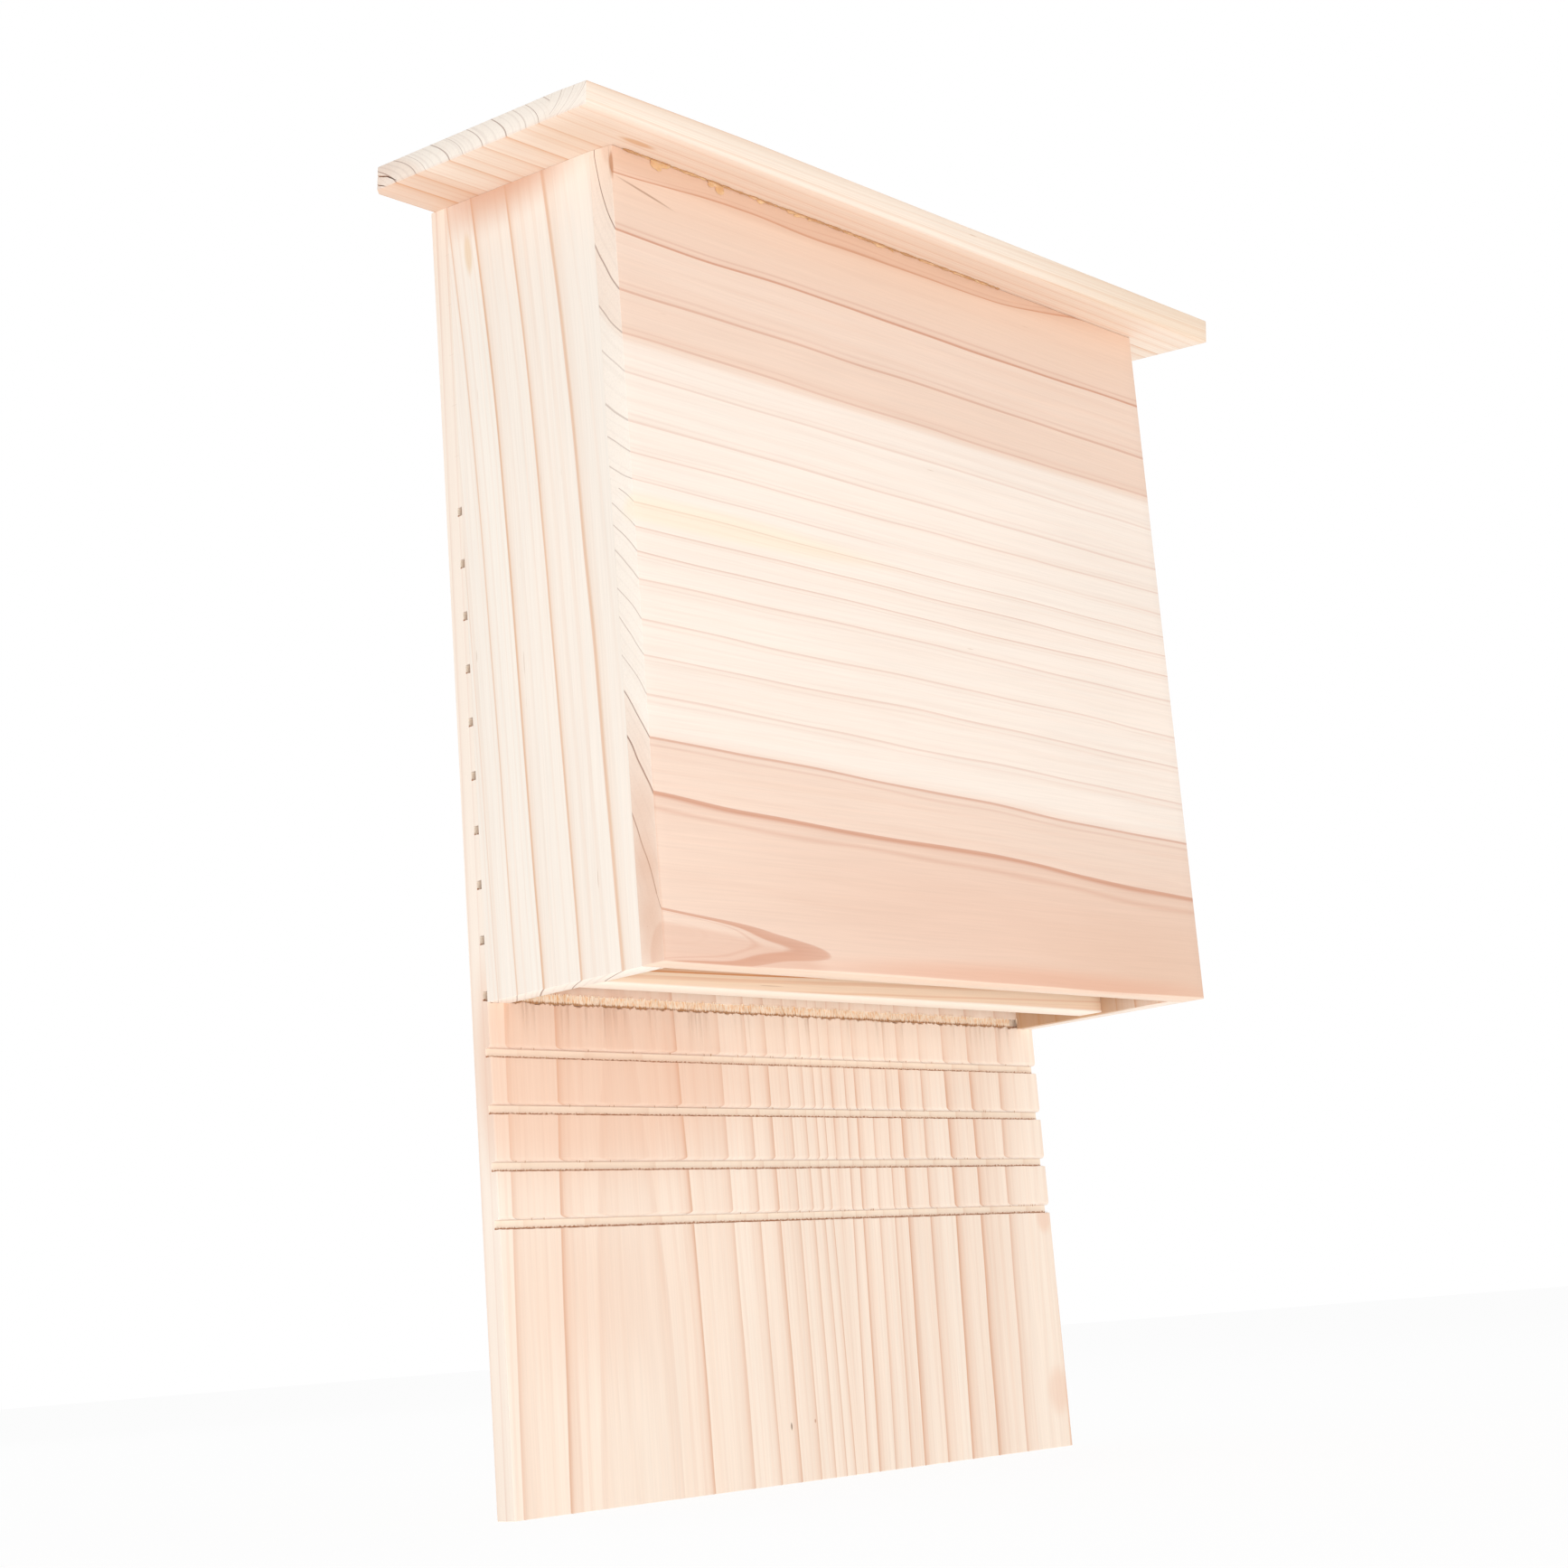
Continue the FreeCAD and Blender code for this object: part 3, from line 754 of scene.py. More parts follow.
def plank(name, low, high):
    """A board blank between two corners."""
    only(None)
    middle = (low + high) / 2
    bpy.ops.mesh.primitive_cube_add(size=1, location=middle, scale=high - low)
    return settle(bpy.context.object, name)


def pick(piece, kind, test):
    """In edit mode, selects only the vertices, edges or faces that pass a test."""
    bpy.ops.mesh.select_mode(type={"verts": "VERT", "edges": "EDGE", "faces": "FACE"}[kind])
    mesh = bmesh.from_edit_mesh(piece.data)
    for part in (*mesh.faces, *mesh.edges, *mesh.verts):
        part.select_set(False)
    for part in getattr(mesh, kind):
        if test(part):
            part.select_set(True)
    mesh.select_flush_mode()
    bmesh.update_edit_mesh(piece.data)


def sliced(piece, point, normal, keep_below=False):
    """In edit mode, cuts a piece along a plane, and may take off what is above it."""
    bpy.ops.mesh.select_all(action="SELECT")
    bpy.ops.mesh.bisect(plane_co=point, plane_no=normal, use_fill=keep_below, clear_outer=keep_below)


def convex(edge):
    """True for a sharp outer edge."""
    return edge.is_manifold and edge.is_convex and edge.calc_face_angle(0) > 0.5


def runs(edge, axis):
    """True for an edge that runs along an axis."""
    line = edge.verts[1].co - edge.verts[0].co
    return abs(line[axis]) > 0.98 * line.length


def lies_short(edge, axis, limit):
    """True for an edge with both ends short of a limit on an axis."""
    return all(vert.co[axis] < limit for vert in edge.verts)


def round_edges(piece, test, width, segments, clamp_overlap=False):
    """In edit mode, rounds the edges that pass a test."""
    pick(piece, "edges", test)
    bpy.ops.mesh.bevel(offset=width, segments=segments, affect="EDGES", clamp_overlap=clamp_overlap)


def ease_edges(piece, width, segments=2, free=None):
    """In edit mode, takes the sharpness off the outer edges that aren't in a joint."""
    round_edges(piece, lambda edge: convex(edge) and (free is None or free(edge)), width, segments, True)


def divide(piece, axis, rounds):
    """In edit mode, cuts the piece across an axis into even lengths."""
    for cuts in rounds:
        pick(piece, "edges", lambda edge: runs(edge, axis))
        bpy.ops.mesh.subdivide(number_cuts=cuts)


def push(piece, weight, strength, direction, cloud_size=None, middle=1.0, contrast=1.0):
    """Moves each vertex by the weight that a function gives its place, evenly or by a cloudy pattern."""
    group = piece.vertex_groups.new(name="moved")
    for vertex in piece.data.vertices:
        amount = weight(vertex.co)
        if amount > 0:
            group.add([vertex.index], min(amount, 1.0), "REPLACE")
    modifier = piece.modifiers.new("shape", "DISPLACE")
    modifier.vertex_group = group.name
    modifier.direction = direction
    modifier.strength = strength
    modifier.mid_level = middle
    if cloud_size:
        texture = bpy.data.textures.new("clouds", "CLOUDS")
        texture.noise_scale = cloud_size
        texture.noise_depth = 2
        texture.contrast = contrast
        modifier.texture = texture
        modifier.texture_coords = "LOCAL"
    only(piece)
    bpy.ops.object.modifier_apply(modifier=modifier.name)
    piece.vertex_groups.clear()


def carve(piece, cutter):
    """Cuts another shape out of a piece."""
    # Flat triangles keep the exact cut from leaving loose faces.
    for part in (cutter, piece):
        edit(part)
        bpy.ops.mesh.select_all(action="SELECT")
        bpy.ops.mesh.quads_convert_to_tris()
        only(part)
    modifier = piece.modifiers.new("cut", "BOOLEAN")
    modifier.object = cutter
    modifier.operation = "DIFFERENCE"
    modifier.solver = "EXACT"
    only(piece)
    bpy.ops.object.modifier_apply(modifier=modifier.name)
    bpy.data.objects.remove(cutter, do_unlink=True)


def joined(pieces, name):
    """Makes one named piece of several."""
    only(pieces[0])
    for piece in pieces:
        piece.select_set(True)
    if len(pieces) > 1:
        bpy.ops.object.join()
    return settle(bpy.context.object, name)


def drill(piece, spots, radius, depth, turn=(0, 0, 0)):
    """Drills round holes of one size into a piece, each centred on a spot of its surface."""
    bits = []
    for spot in spots:
        only(None)
        bpy.ops.mesh.primitive_cylinder_add(
            vertices=48, radius=radius, depth=2 * depth, location=spot, rotation=turn,
        )
        bits.append(bpy.context.object)
    carve(piece, joined(bits, "bits"))


def dress(piece, material, slot, *nodes):
    """Gives a finished piece its material, its body and the model's parts that it stands for. The name of its
    finish, slot, is not used.
    """
    piece.data.materials.clear()
    piece.data.materials.append(material)
    only(piece)
    bpy.ops.object.shade_smooth_by_angle(angle=SMOOTH_ANGLE)
    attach(piece, "root")
    if nodes:
        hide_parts(*nodes)


def planed(piece, sizes):
    """Adds the slight unevenness of a planed face, only inwards."""
    push(piece, lambda place: 1.0, sizes.planing_depth, "NORMAL", cloud_size=30 * MM)


def roof_height(y):
    """Height of the roof's underside at a depth."""
    return ROOF_AT_WALL + y * math.tan(ROOF_SLOPE)


def under_roof(piece):
    """In edit mode, cuts a board's top to the roof's slope."""
    normal = Vector((0, -math.sin(ROOF_SLOPE), math.cos(ROOF_SLOPE)))
    sliced(piece, (0, 0, ROOF_AT_WALL), normal, keep_below=True)


# Back board


def groove_lips(sizes):
    """Heights of the grooves' upper lips and of their lower lips."""
    tops = [groove_top(sizes, number) for number in range(sizes.groove_count)]
    return tops, [top - sizes.groove_height for top in tops]


def at_one(value, places):
    """True for a value that is the same as one of some places."""
    return any(abs(value - place) < NEAR for place in places)


def mill_grooves(board, face, sizes):
    """In edit mode, mills the grooves into a board's front face."""
    tops, bottoms = groove_lips(sizes)
    depth = face + sizes.groove_depth
    sliced(board, (0, depth, 0), Y_AXIS)
    for height in (*tops, *bottoms):
        sliced(board, (0, 0, height), Z_AXIS)

    def in_groove(part):
        middle = part.calc_center_median()
        return middle.y <= depth - NEAR and any(low < middle.z < high for high, low in zip(tops, bottoms))

    pick(board, "faces", in_groove)
    bpy.ops.mesh.delete(type="FACE")
    # Every groove gets its upper, lower and back wall.
    for top, bottom in zip(tops, bottoms):
        walls = (((top,), (face, depth)), ((bottom,), (face, depth)), ((top, bottom), (depth,)))
        for heights, depths in walls:
            pick(board, "verts", lambda vert: at_one(vert.co.z, heights) and at_one(vert.co.y, depths))
            bpy.ops.mesh.edge_face_add()
    bpy.ops.mesh.select_all(action="SELECT")
    bpy.ops.mesh.remove_doubles(threshold=NEAR / 10)
    bpy.ops.mesh.normals_make_consistent(inside=False)


def ease_lips(board, face, sizes):
    """In edit mode, rounds the grooves' edges. On the landing the upper lips are worn."""
    tops, bottoms = groove_lips(sizes)
    depth = face + sizes.groove_depth
    box_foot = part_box("left_side")[0].z
    sheltered = [top for top in tops if top > box_foot]
    worn = [top for top in tops if top < box_foot]
    for y, heights, width, steps in (
        (depth, sheltered, 0.7, 3), (face, sheltered, 0.3, 2), (face, worn, 1.5, 5), (face, bottoms, 0.12, 1),
    ):
        round_edges(board, lambda edge: runs(edge, 0) and all(
            at_one(vert.co.y, (y,)) and at_one(vert.co.z, heights) for vert in edge.verts
        ), width * MM, steps)


def tear_lips(board, face, sizes):
    """Roughens the grooves' lips, the torn one's lower lip most of all."""
    tops, bottoms = groove_lips(sizes)
    torn_lip = groove_top(sizes, TORN_GROOVE) - sizes.groove_height
    lip_height = 0.4 * MM

    def torn(place):
        if place.y > face + 0.9 * MM:
            return 0.0
        if abs(place.z - torn_lip) < lip_height:
            return 1.0
        for top, bottom in zip(tops, bottoms):
            if abs(place.z - bottom) < lip_height:
                return 0.22
            if abs(place.z - top) < lip_height:
                return 0.1
        return 0.0

    push(board, torn, sizes.torn_depth, "Z", cloud_size=1.3 * MM, contrast=2.2)


def let_in_plates(board, top):
    """Cuts the pockets that the two hanger plates lie in, open at the board's top and back."""
    slack = Vector((0.05, 0.05, 0.05)) * MM
    below_top = top - 10 * MM
    for node in PLATES:
        low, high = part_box(node)
        pocket = plank("pocket", low - slack, Vector((high.x, MM, top + MM)) + slack)
        edit(pocket)
        round_edges(pocket, lambda edge: runs(edge, 1) and edge.verts[0].co.z < below_top, PLATE_CORNER, 6)
        only(pocket)
        carve(board, pocket)


class BATBOX_OT_back_board(bpy.types.Operator):
    """Makes the tall grooved back board"""

    bl_idname = "batbox.back_board"
    bl_label = "Back board"

    def execute(self, context):
        sizes = context.scene.batbox_sizes
        low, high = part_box("back_board")
        board = plank("grooved_back_board", low, high)
        edit(board)
        mill_grooves(board, low.y, sizes)
        ease_lips(board, low.y, sizes)
        ease_edges(board, 0.25 * MM, 1, lambda edge: lies_short(edge, 2, low.z + MM))
        divide(board, 0, (19, 19))
        only(board)
        tear_lips(board, low.y, sizes)
        let_in_plates(board, high.z)
        # Four brads go into each side board's rear edge.
        side_low, side_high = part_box("left_side")
        side_middle = (side_low.x + side_high.x) / 2
        highest, spread = -48 * MM, 256 * MM
        heights = [highest - spread * place / 3 for place in range(4)]
        spots = [(x, 0, z) for x in (side_middle, -side_middle) for z in heights]
        drill(board, spots, BRAD_HOLE_RADIUS, BRAD_HOLE_DEPTH, FACING_BACK)
        marks = (
            mark((-153, -4.5, -260), (2, 14, 420), 0.6, "FFF4E8"),
            mark((-15.5, -9, -484), (0.6, 3, 1.8), 0.8, "7A5B40"),
            mark((-2.5, -9, -483), (0.6, 3, 1.0), 0.6, "B5764F"),
            mark((147, -9, -482), (9, 5, 13), 0.3, "E6AE8C"),
            mark((148, -9, -410), (6, 5, 8), 0.35, "E6AE8C"),
            mark((-115, -9, -352), (120, 12, 52), 0.45, "E6B292"),
            mark((-110, -9, -430), (60, 12, 50), 0.2, "E6B292", core=0.1),
            # Painted light: a paler band on the landing just under the box, which offsets the shade that the
            # box casts there.
            mark((50, -9, -329), (150, 12, 30), 0.55, "FFE8D3", core=0.2),
        )
        colours = context.scene.batbox_colours
        grooved = softwood("planed softwood, back board", BACK_GRAIN, colours, 3.1, marks=marks)
        tone_grooves_and_paint_shade(grooved, sizes, low.y)
        dress(board, grooved, "pale_softwood", "back_board")
        return {"FINISHED"}


class BATBOX_OT_groove_splinters(bpy.types.Operator):
    """Makes the torn fibres that hang in the grooves"""

    bl_idname = "batbox.groove_splinters"
    bl_label = "Groove splinters"

    def execute(self, context):
        sizes = context.scene.batbox_sizes
        low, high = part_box("back_board")
        draw = random.Random(41)
        only(None)
        bpy.ops.mesh.primitive_cone_add(vertices=5, radius1=0.5, radius2=0.08, depth=1.0, location=(0, 0, 0))
        sliver = settle(bpy.context.object, "sliver")
        edit(sliver)
        divide(sliver, 2, (2,))
        # The tip curls over.
        pick(sliver, "verts", lambda vert: vert.co.z > 0.4)
        bpy.ops.transform.translate(value=(0.0, -0.35, 0.0))
        only(sliver)
        tufts = []
        for groove in range(sizes.groove_count):
            top = groove_top(sizes, groove)
            fibres = TORN_SPLINTERS if groove == TORN_GROOVE else FINE_SPLINTERS
            for _ in range(fibres["count"]):
                length = sizes.splinter_length * draw.uniform(*fibres["length"])
                width = draw.uniform(*fibres["width"]) * MM
                hangs = draw.random() < fibres["hanging"]
                x = draw.uniform(low.x + 2 * MM, high.x - 2 * MM)
                lean = draw.uniform(-0.25, 0.25)
                inset = draw.uniform(*fibres["depth"]) * MM
                # The root is 0.3 mm inside the wood.
                reach = length / 2 - 0.3 * MM
                height = top - reach if hangs else top - sizes.groove_height + reach
                copy = sliver.copy()
                copy.data = sliver.data.copy()
                context.collection.objects.link(copy)
                copy.matrix_world = (
                    Matrix.Translation((x, low.y + inset, height))
                    @ Matrix.Rotation(math.pi if hangs else 0.0, 4, "X")
                    @ Matrix.Rotation(lean, 4, "Y")
                    @ Matrix.Diagonal((width, width * 0.5, length, 1))
                )
                tufts.append(copy)
        bpy.data.objects.remove(sliver, do_unlink=True)
        # A mat of fibres fills most of the torn groove.
        mat_top = groove_top(sizes, TORN_GROOVE)
        mat_foot = mat_top - sizes.groove_height
        mat = plank("mat", Vector((low.x + 10 * MM, low.y + 0.8 * MM, mat_foot - 0.4 * MM)),
                    Vector((high.x - 14 * MM, low.y + sizes.groove_depth + 0.1 * MM, mat_top + 0.4 * MM)))
        edit(mat)
        divide(mat, 2, (3,))
        divide(mat, 0, (19, 19))
        only(mat)

        def in_front(place):
            return 1.0 if place.y < low.y + 1.5 * MM else 0.0

        push(mat, in_front, 0.7 * MM, "Y", cloud_size=0.8 * MM, middle=0.5, contrast=1.6)
        splinters = joined([*tufts, mat], "groove_splinters")
        dress(splinters, torn_fibres("torn softwood fibres", sizes), "pale_softwood")
        return {"FINISHED"}


class BATBOX_OT_side_boards(bpy.types.Operator):
    """Makes the two side boards"""

    bl_idname = "batbox.side_boards"
    bl_label = "Side boards"

    def execute(self, context):
        sizes = context.scene.batbox_sizes
        colours = context.scene.batbox_colours
        left_marks = (
            mark((-152.5, -24.6, -48), (6, 2.8, 11), 0.5, "E6C394"),
            # Painted shade under the roof's overhang, with some pinker wood, at the top of the side.
            mark((-152.5, -50, -26), (12, 60, 22), 0.9, "DBAC90", core=0.1),
        )
        right_marks = (
            # Painted shade: the inner face darkens to brown near its foot, inside the chambers.
            mark((142.5, -30, -318), (5, 60, 46), 0.75, "C08F5E"),
        )
        woods = (
            ("left_side", "planed softwood, left side", LEFT_SIDE_GRAIN, 1.7, left_marks),
            ("right_side", "planed softwood, right side", RIGHT_SIDE_GRAIN, 5.3, right_marks),
        )
        for node, name, grain, seed, marks in woods:
            low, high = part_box(node)
            side = plank("planed_" + node, low, high)
            edit(side)
            under_roof(side)
            ease_edges(side, 0.15 * MM, 2, lambda edge: lies_short(edge, 2, low.z + MM))
            divide(side, 2, (29,))
            divide(side, 1, (7,))
            only(side)
            planed(side, sizes)
            dress(side, softwood(name, grain, colours, seed, marks=marks), "pale_softwood", node)
        return {"FINISHED"}


class BATBOX_OT_front_board(bpy.types.Operator):
    """Makes the front board of glued staves"""

    bl_idname = "batbox.front_board"
    bl_label = "Front board"

    def execute(self, context):
        sizes = context.scene.batbox_sizes
        low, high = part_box("front_board")
        board = plank("planed_front_board", low, high)
        edit(board)
        under_roof(board)
        ease_edges(board, sizes.edge_ease, 2,
                   lambda edge: lies_short(edge, 1, low.y + MM) or lies_short(edge, 2, low.z + MM))
        divide(board, 0, (59,))
        divide(board, 2, (29,))
        only(board)
        planed(board, sizes)

        def chip(place):
            return 1.0 if place.x < low.x + MM and place.y < low.y + MM and place.z > -44 * MM else 0.0

        # The top left corner is chipped.
        push(board, chip, 2.4 * MM, "X", cloud_size=4 * MM, middle=0.0)
        marks = (
            mark((-137, -101, -50.6), (17, 8, 0.6), 0.75, "A67E66", turn=12),
            mark((-120, -101, -170.5), (120, 8, 7), 0.35, "F8E7C4"),
            mark((-152, -101, -325), (86, 7, 11), 0.35, "D39C80", core=0.8, turn=3),
            mark((-152.5, -101, -42), (1.1, 1.8, 9), 0.85, "AD7046"),
            # Painted shade: a darker band along the top of the front face, under the roof's overhang.
            mark((-60, -101, -34), (215, 6, 13), 0.25, "C59475", core=0.75),
            mark((-153, -95, -300), (2, 16, 62), 0.6, "D9A88A", core=0.2),
            # Painted shade: a broad darkening that fades down from the roof's overhang.
            mark((0, -101, -38), (420, 12, 40), 0.3, "D9B598", core=0.1),
            mark((150, -101, -328), (170, 12, 60), 0.35, "D8A683", core=0.1),
            mark((10, -101, -305), (190, 12, 40), 0.22, "DC9F7E", core=0.1),
            mark((40, -101, -327), (170, 8, 9), 0.45, "DD9C7A", core=0.3),
            # Painted light: the bottom face of the board is made paler, as if lit from below.
            mark((0, -95, -328.7), (600, 40, 1.5), 0.55, "FFEBD6", core=0.6),
        )
        colours = context.scene.batbox_colours
        wood = softwood("planed softwood, front board", FRONT_GRAIN, colours, 0.0, marks=marks)
        dress(board, wood, "pale_softwood", "front_board")
        return {"FINISHED"}


class BATBOX_OT_partition(bpy.types.Operator):
    """Makes the partition between the two chambers"""

    bl_idname = "batbox.partition"
    bl_label = "Partition"

    def execute(self, context):
        sizes = context.scene.batbox_sizes
        low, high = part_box("partition")
        board = plank("planed_partition", low, high)
        edit(board)
        ease_edges(board, sizes.edge_ease)
        divide(board, 0, (39,))
        divide(board, 2, (19,))
        only(board)
        planed(board, sizes)
        marks = (
            # Painted light: the bottom face is made pale, as if lit from below, over the tint's painted
            # shade.
            mark((0, -49.5, -327.9), (600, 60, 1.6), 0.9, "FFF4E6", core=0.6),
        )
        colours = context.scene.batbox_colours
        wood = softwood("planed softwood, partition", PARTITION_GRAIN, colours, 7.9, marks=marks)
        dress(board, wood, "pale_softwood", "partition")
        return {"FINISHED"}


# Depth behind the roof's back edge, height and half gape of each drying crack, in millimetres, from its
# mouth to its end.
CRACKS = (
    ((-1.5, 6.6, 0.6), (4, 5.2, 0.5), (9, 3.9, 0.4), (15, 0.9, 0.1)),
    ((-1.5, 2.6, 0.5), (3, 2.1, 0.45), (6, 1.1, 0.3), (8.5, 0.2, 0.1)),
)


def drying_crack(path, left, back):
    """A wedge in the shape of a crack at the roof's back left corner. It is shaped slice by slice from a cube
    with a size of 2, in millimetres, and each slice is put 10 mm off so that it isn't picked again."""
    aside = 10
    only(None)
    bpy.ops.mesh.primitive_cube_add(size=2, location=(0, 0, 0))
    crack = settle(bpy.context.object, "crack")
    edit(crack)
    divide(crack, 1, (2,))
    for place, (depth, height, gape) in enumerate(path):
        slice_y = 1 - place * 2 / 3
        # The crack narrows to the right.
        for end, share in ((-1, 1.0), (1, 0.12)):
            pick(crack, "verts", lambda vert: abs(vert.co.y - slice_y) < 0.01 and vert.co.x * end > 0)
            bpy.ops.transform.resize(value=(1, 1, gape * share), center_override=(0, 0, 0))
            bpy.ops.transform.translate(value=(0, aside + back / MM - depth - slice_y, height))
    bpy.ops.mesh.select_all(action="SELECT")
    bpy.ops.transform.resize(value=(12 * MM, MM, MM), center_override=(0, 0, 0))
    bpy.ops.transform.translate(value=(left + 2 * MM, -aside * MM, 0))
    only(crack)
    return crack


class BATBOX_OT_roof_board(bpy.types.Operator):
    """Makes the sloped roof board with its dipped corner and drying cracks"""

    bl_idname = "batbox.roof_board"
    bl_label = "Roof board"

    def execute(self, context):
        sizes = context.scene.batbox_sizes
        low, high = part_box("roof_board")
        # The board is made level, and turned to its slope once it is finished.
        back = high.y / math.cos(ROOF_SLOPE)
        front = (low.y + ROOF_THICKNESS * math.sin(ROOF_SLOPE)) / math.cos(ROOF_SLOPE)
        board = plank("sawn_roof_board", Vector((low.x, front, 0)), Vector((high.x, back, ROOF_THICKNESS)))
        edit(board)
        # The back left corner is cut off by 3 mm.
        corner = Vector((low.x + 3 * MM, back, 0))
        sliced(board, corner, Vector((-1, 1, 0)).normalized(), keep_below=True)
        ease_edges(board, 0.6 * MM)
        divide(board, 0, (59,))
        divide(board, 1, (19,))
        only(board)

        def dip(place):
            if place.z < ROOF_THICKNESS / 2:
                return 0.0
            sideways = max(0.0, 1 - (place.x - low.x) / (80 * MM))
            forward = max(0.0, 1 - (place.y - front) / (16 * MM))
            return sideways ** 1.2 * (0.55 + 0.45 * forward)

        push(board, dip, -sizes.roof_dip, "Z", middle=0.0)
        planed(board, sizes)
        # Brads go into the sides' tops, the back board and the front board.
        spots = [(x, y) for x in (-147.5, 147.5) for y in (-33, -66)]
        spots += [(x, y) for x in (-65, 0, 65) for y in (-4.5, -95.5)]
        spots = [(x * MM, y * MM / math.cos(ROOF_SLOPE), ROOF_THICKNESS) for x, y in spots]
        drill(board, spots, BRAD_HOLE_RADIUS, BRAD_HOLE_DEPTH)
        for path in CRACKS:
            carve(board, drying_crack(path, low.x, back))
        board.matrix_world = Matrix.Translation((0, 0, ROOF_AT_WALL)) @ Matrix.Rotation(ROOF_SLOPE, 4, "X")
        settle(board, "sawn_roof_board")
        marks = (
            mark((-146, -109, 0), (11, 2.2, 5), 0.65, "D0934E"),
            mark((-166, -100, 0), (26, 26, 5), 0.3, "D8AD88", core=0.1),
            mark((-175, -6, 5), (14, 9, 8), 0.12, "D9A48A"),
            # Painted shade: the whole underside is made darker, where the overhang shades it.
            mark((-90, -60, -0.3), (300, 300, 1.7), 0.2, "D8A88C", core=0.5),
            mark((170, -122, 5), (190, 6, 14), 0.35, "E3BC90", core=0.1),
        )
        colours = context.scene.batbox_colours
        wood = softwood("planed softwood, roof", ROOF_GRAIN, colours, 2.2, turned=True, marks=marks)
        dress(board, wood, "pale_softwood", "roof_board")
        return {"FINISHED"}


def glue_drop(segments, place, turn, radii):
    """A round drop of glue, flattened to its radii and leant in the front board's plane."""
    only(None)
    bpy.ops.mesh.primitive_uv_sphere_add(
        segments=segments[0], ring_count=segments[1], radius=1, location=(0, 0, 0),
    )
    drop = bpy.context.object
    drop.matrix_world = (
        Matrix.Translation(place) @ Matrix.Rotation(turn, 4, "Y") @ Matrix.Diagonal((*radii, 1))
    )
    return drop


# Middle, width and fall of each smear of glue, in millimetres.
SMEARS = ((-129, 8.5, 3.4), (-99.5, 8.5, 3.4), (-79, 7, 1.8), (-55, 14, 1.1), (-12, 16, 0.9))


class BATBOX_OT_glue_bead(bpy.types.Operator):
    """Makes the glue squeezed out under the roof"""

    bl_idname = "batbox.glue_bead"
    bl_label = "Glue bead"

    def execute(self, context):
        low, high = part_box("glue_bead")
        draw = random.Random(9)
        drops = []
        x = low.x + MM
        while x < high.x - MM:
            size = draw.uniform(0.3, 0.75) * MM
            stretch = draw.uniform(2.0, 4.5)
            y = high.y - size * 0.4
            place = (x, y, roof_height(y) - size * 0.35)
            drops.append(glue_drop((14, 8), place, 0.0, (size * stretch, size, size * 0.8)))
            x += size * stretch * draw.uniform(0.7, 1.25)
        # Each smear is a few flat lumps that run into each other.
        for middle, width, fall in SMEARS:
            for _ in range(5):
                place = ((middle + width * draw.uniform(-0.4, 0.4)) * MM, high.y - 0.15 * MM,
                         high.z - fall * MM * draw.uniform(0.1, 0.75))
                turn = draw.uniform(-0.4, 0.4)
                radii = (width * draw.uniform(0.18, 0.34) * MM, draw.uniform(0.3, 0.55) * MM,
                         fall * draw.uniform(0.3, 0.6) * MM)
                drops.append(glue_drop((20, 12), place, turn, radii))
        bead = joined(drops, "dried_glue_bead")
        melt = bead.modifiers.new("melt", "REMESH")
        melt.mode = "VOXEL"
        melt.voxel_size = 0.22 * MM
        bpy.ops.object.modifier_apply(modifier=melt.name)
        soften = bead.modifiers.new("soften", "SMOOTH")
        soften.iterations = 6
        soften.factor = 0.5
        bpy.ops.object.modifier_apply(modifier=soften.name)
        glue = dried_glue("dried amber glue", context.scene.batbox_colours)
        dress(bead, glue, "dried_glue", "glue_bead")
        return {"FINISHED"}


def countersink(place):
    """A cutter for a screw's cone-shaped seat, with a straight end that goes out through the front."""
    only(None)
    bpy.ops.mesh.primitive_cone_add(
        vertices=48, radius1=2.7 * MM, radius2=1.5 * MM, depth=1.2 * MM, location=place, rotation=FACING_BACK,
    )
    bit = settle(bpy.context.object, "countersink")
    edit(bit)
    pick(bit, "faces", lambda face: face.calc_center_median().y < -1.1 * MM)
    bpy.ops.mesh.extrude_region_move(TRANSFORM_OT_translate={"value": (0, -MM, 0)})
    only(bit)
    return bit


class BATBOX_OT_hanger_plates(bpy.types.Operator):
    """Makes the two steel plates that hang the box"""

    bl_idname = "batbox.hanger_plates"
    bl_label = "Hanger plates"

    def execute(self, context):
        steel = zinc_steel("zinc-plated steel, plates", context.scene.batbox_colours)
        for node in PLATES:
            low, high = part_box(node)
            plate = plank("pressed_" + node, low, high)
            edit(plate)
            # The top is a half circle, and the lower corners and all edges are rounded.
            foot = low.z + MM
            round_edges(plate, lambda edge: runs(edge, 1) and edge.verts[0].co.z > 0, 7.95 * MM, 12)
            round_edges(plate, lambda edge: runs(edge, 1) and lies_short(edge, 2, foot), PLATE_CORNER, 6)
            round_edges(plate, lambda edge: edge.is_manifold and edge.calc_face_angle(0) > 1.0, 0.2 * MM, 2)
            only(plate)
            middle_x = (low.x + high.x) / 2
            drill(plate, [(middle_x, 0, 0)], 2.75 * MM, 3 * MM, FACING_BACK)
            for z in (-32, -48):
                carve(plate, countersink((middle_x, -0.575 * MM, z * MM)))
            dress(plate, steel, "zinc_plated_steel", node)
        return {"FINISHED"}


class BATBOX_OT_fasteners(bpy.types.Operator):
    """Gives the screws, brads and pins their metal"""

    bl_idname = "batbox.fasteners"
    bl_label = "Screws, brads and pins"

    def execute(self, context):
        steel = zinc_steel("zinc-plated steel, fasteners", context.scene.batbox_colours)
        for node in ("hanger_screws", "back_brads", "roof_brads", "front_pins", "partition_pins"):
            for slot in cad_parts[node].material_slots:
                slot.material = steel
        return {"FINISHED"}


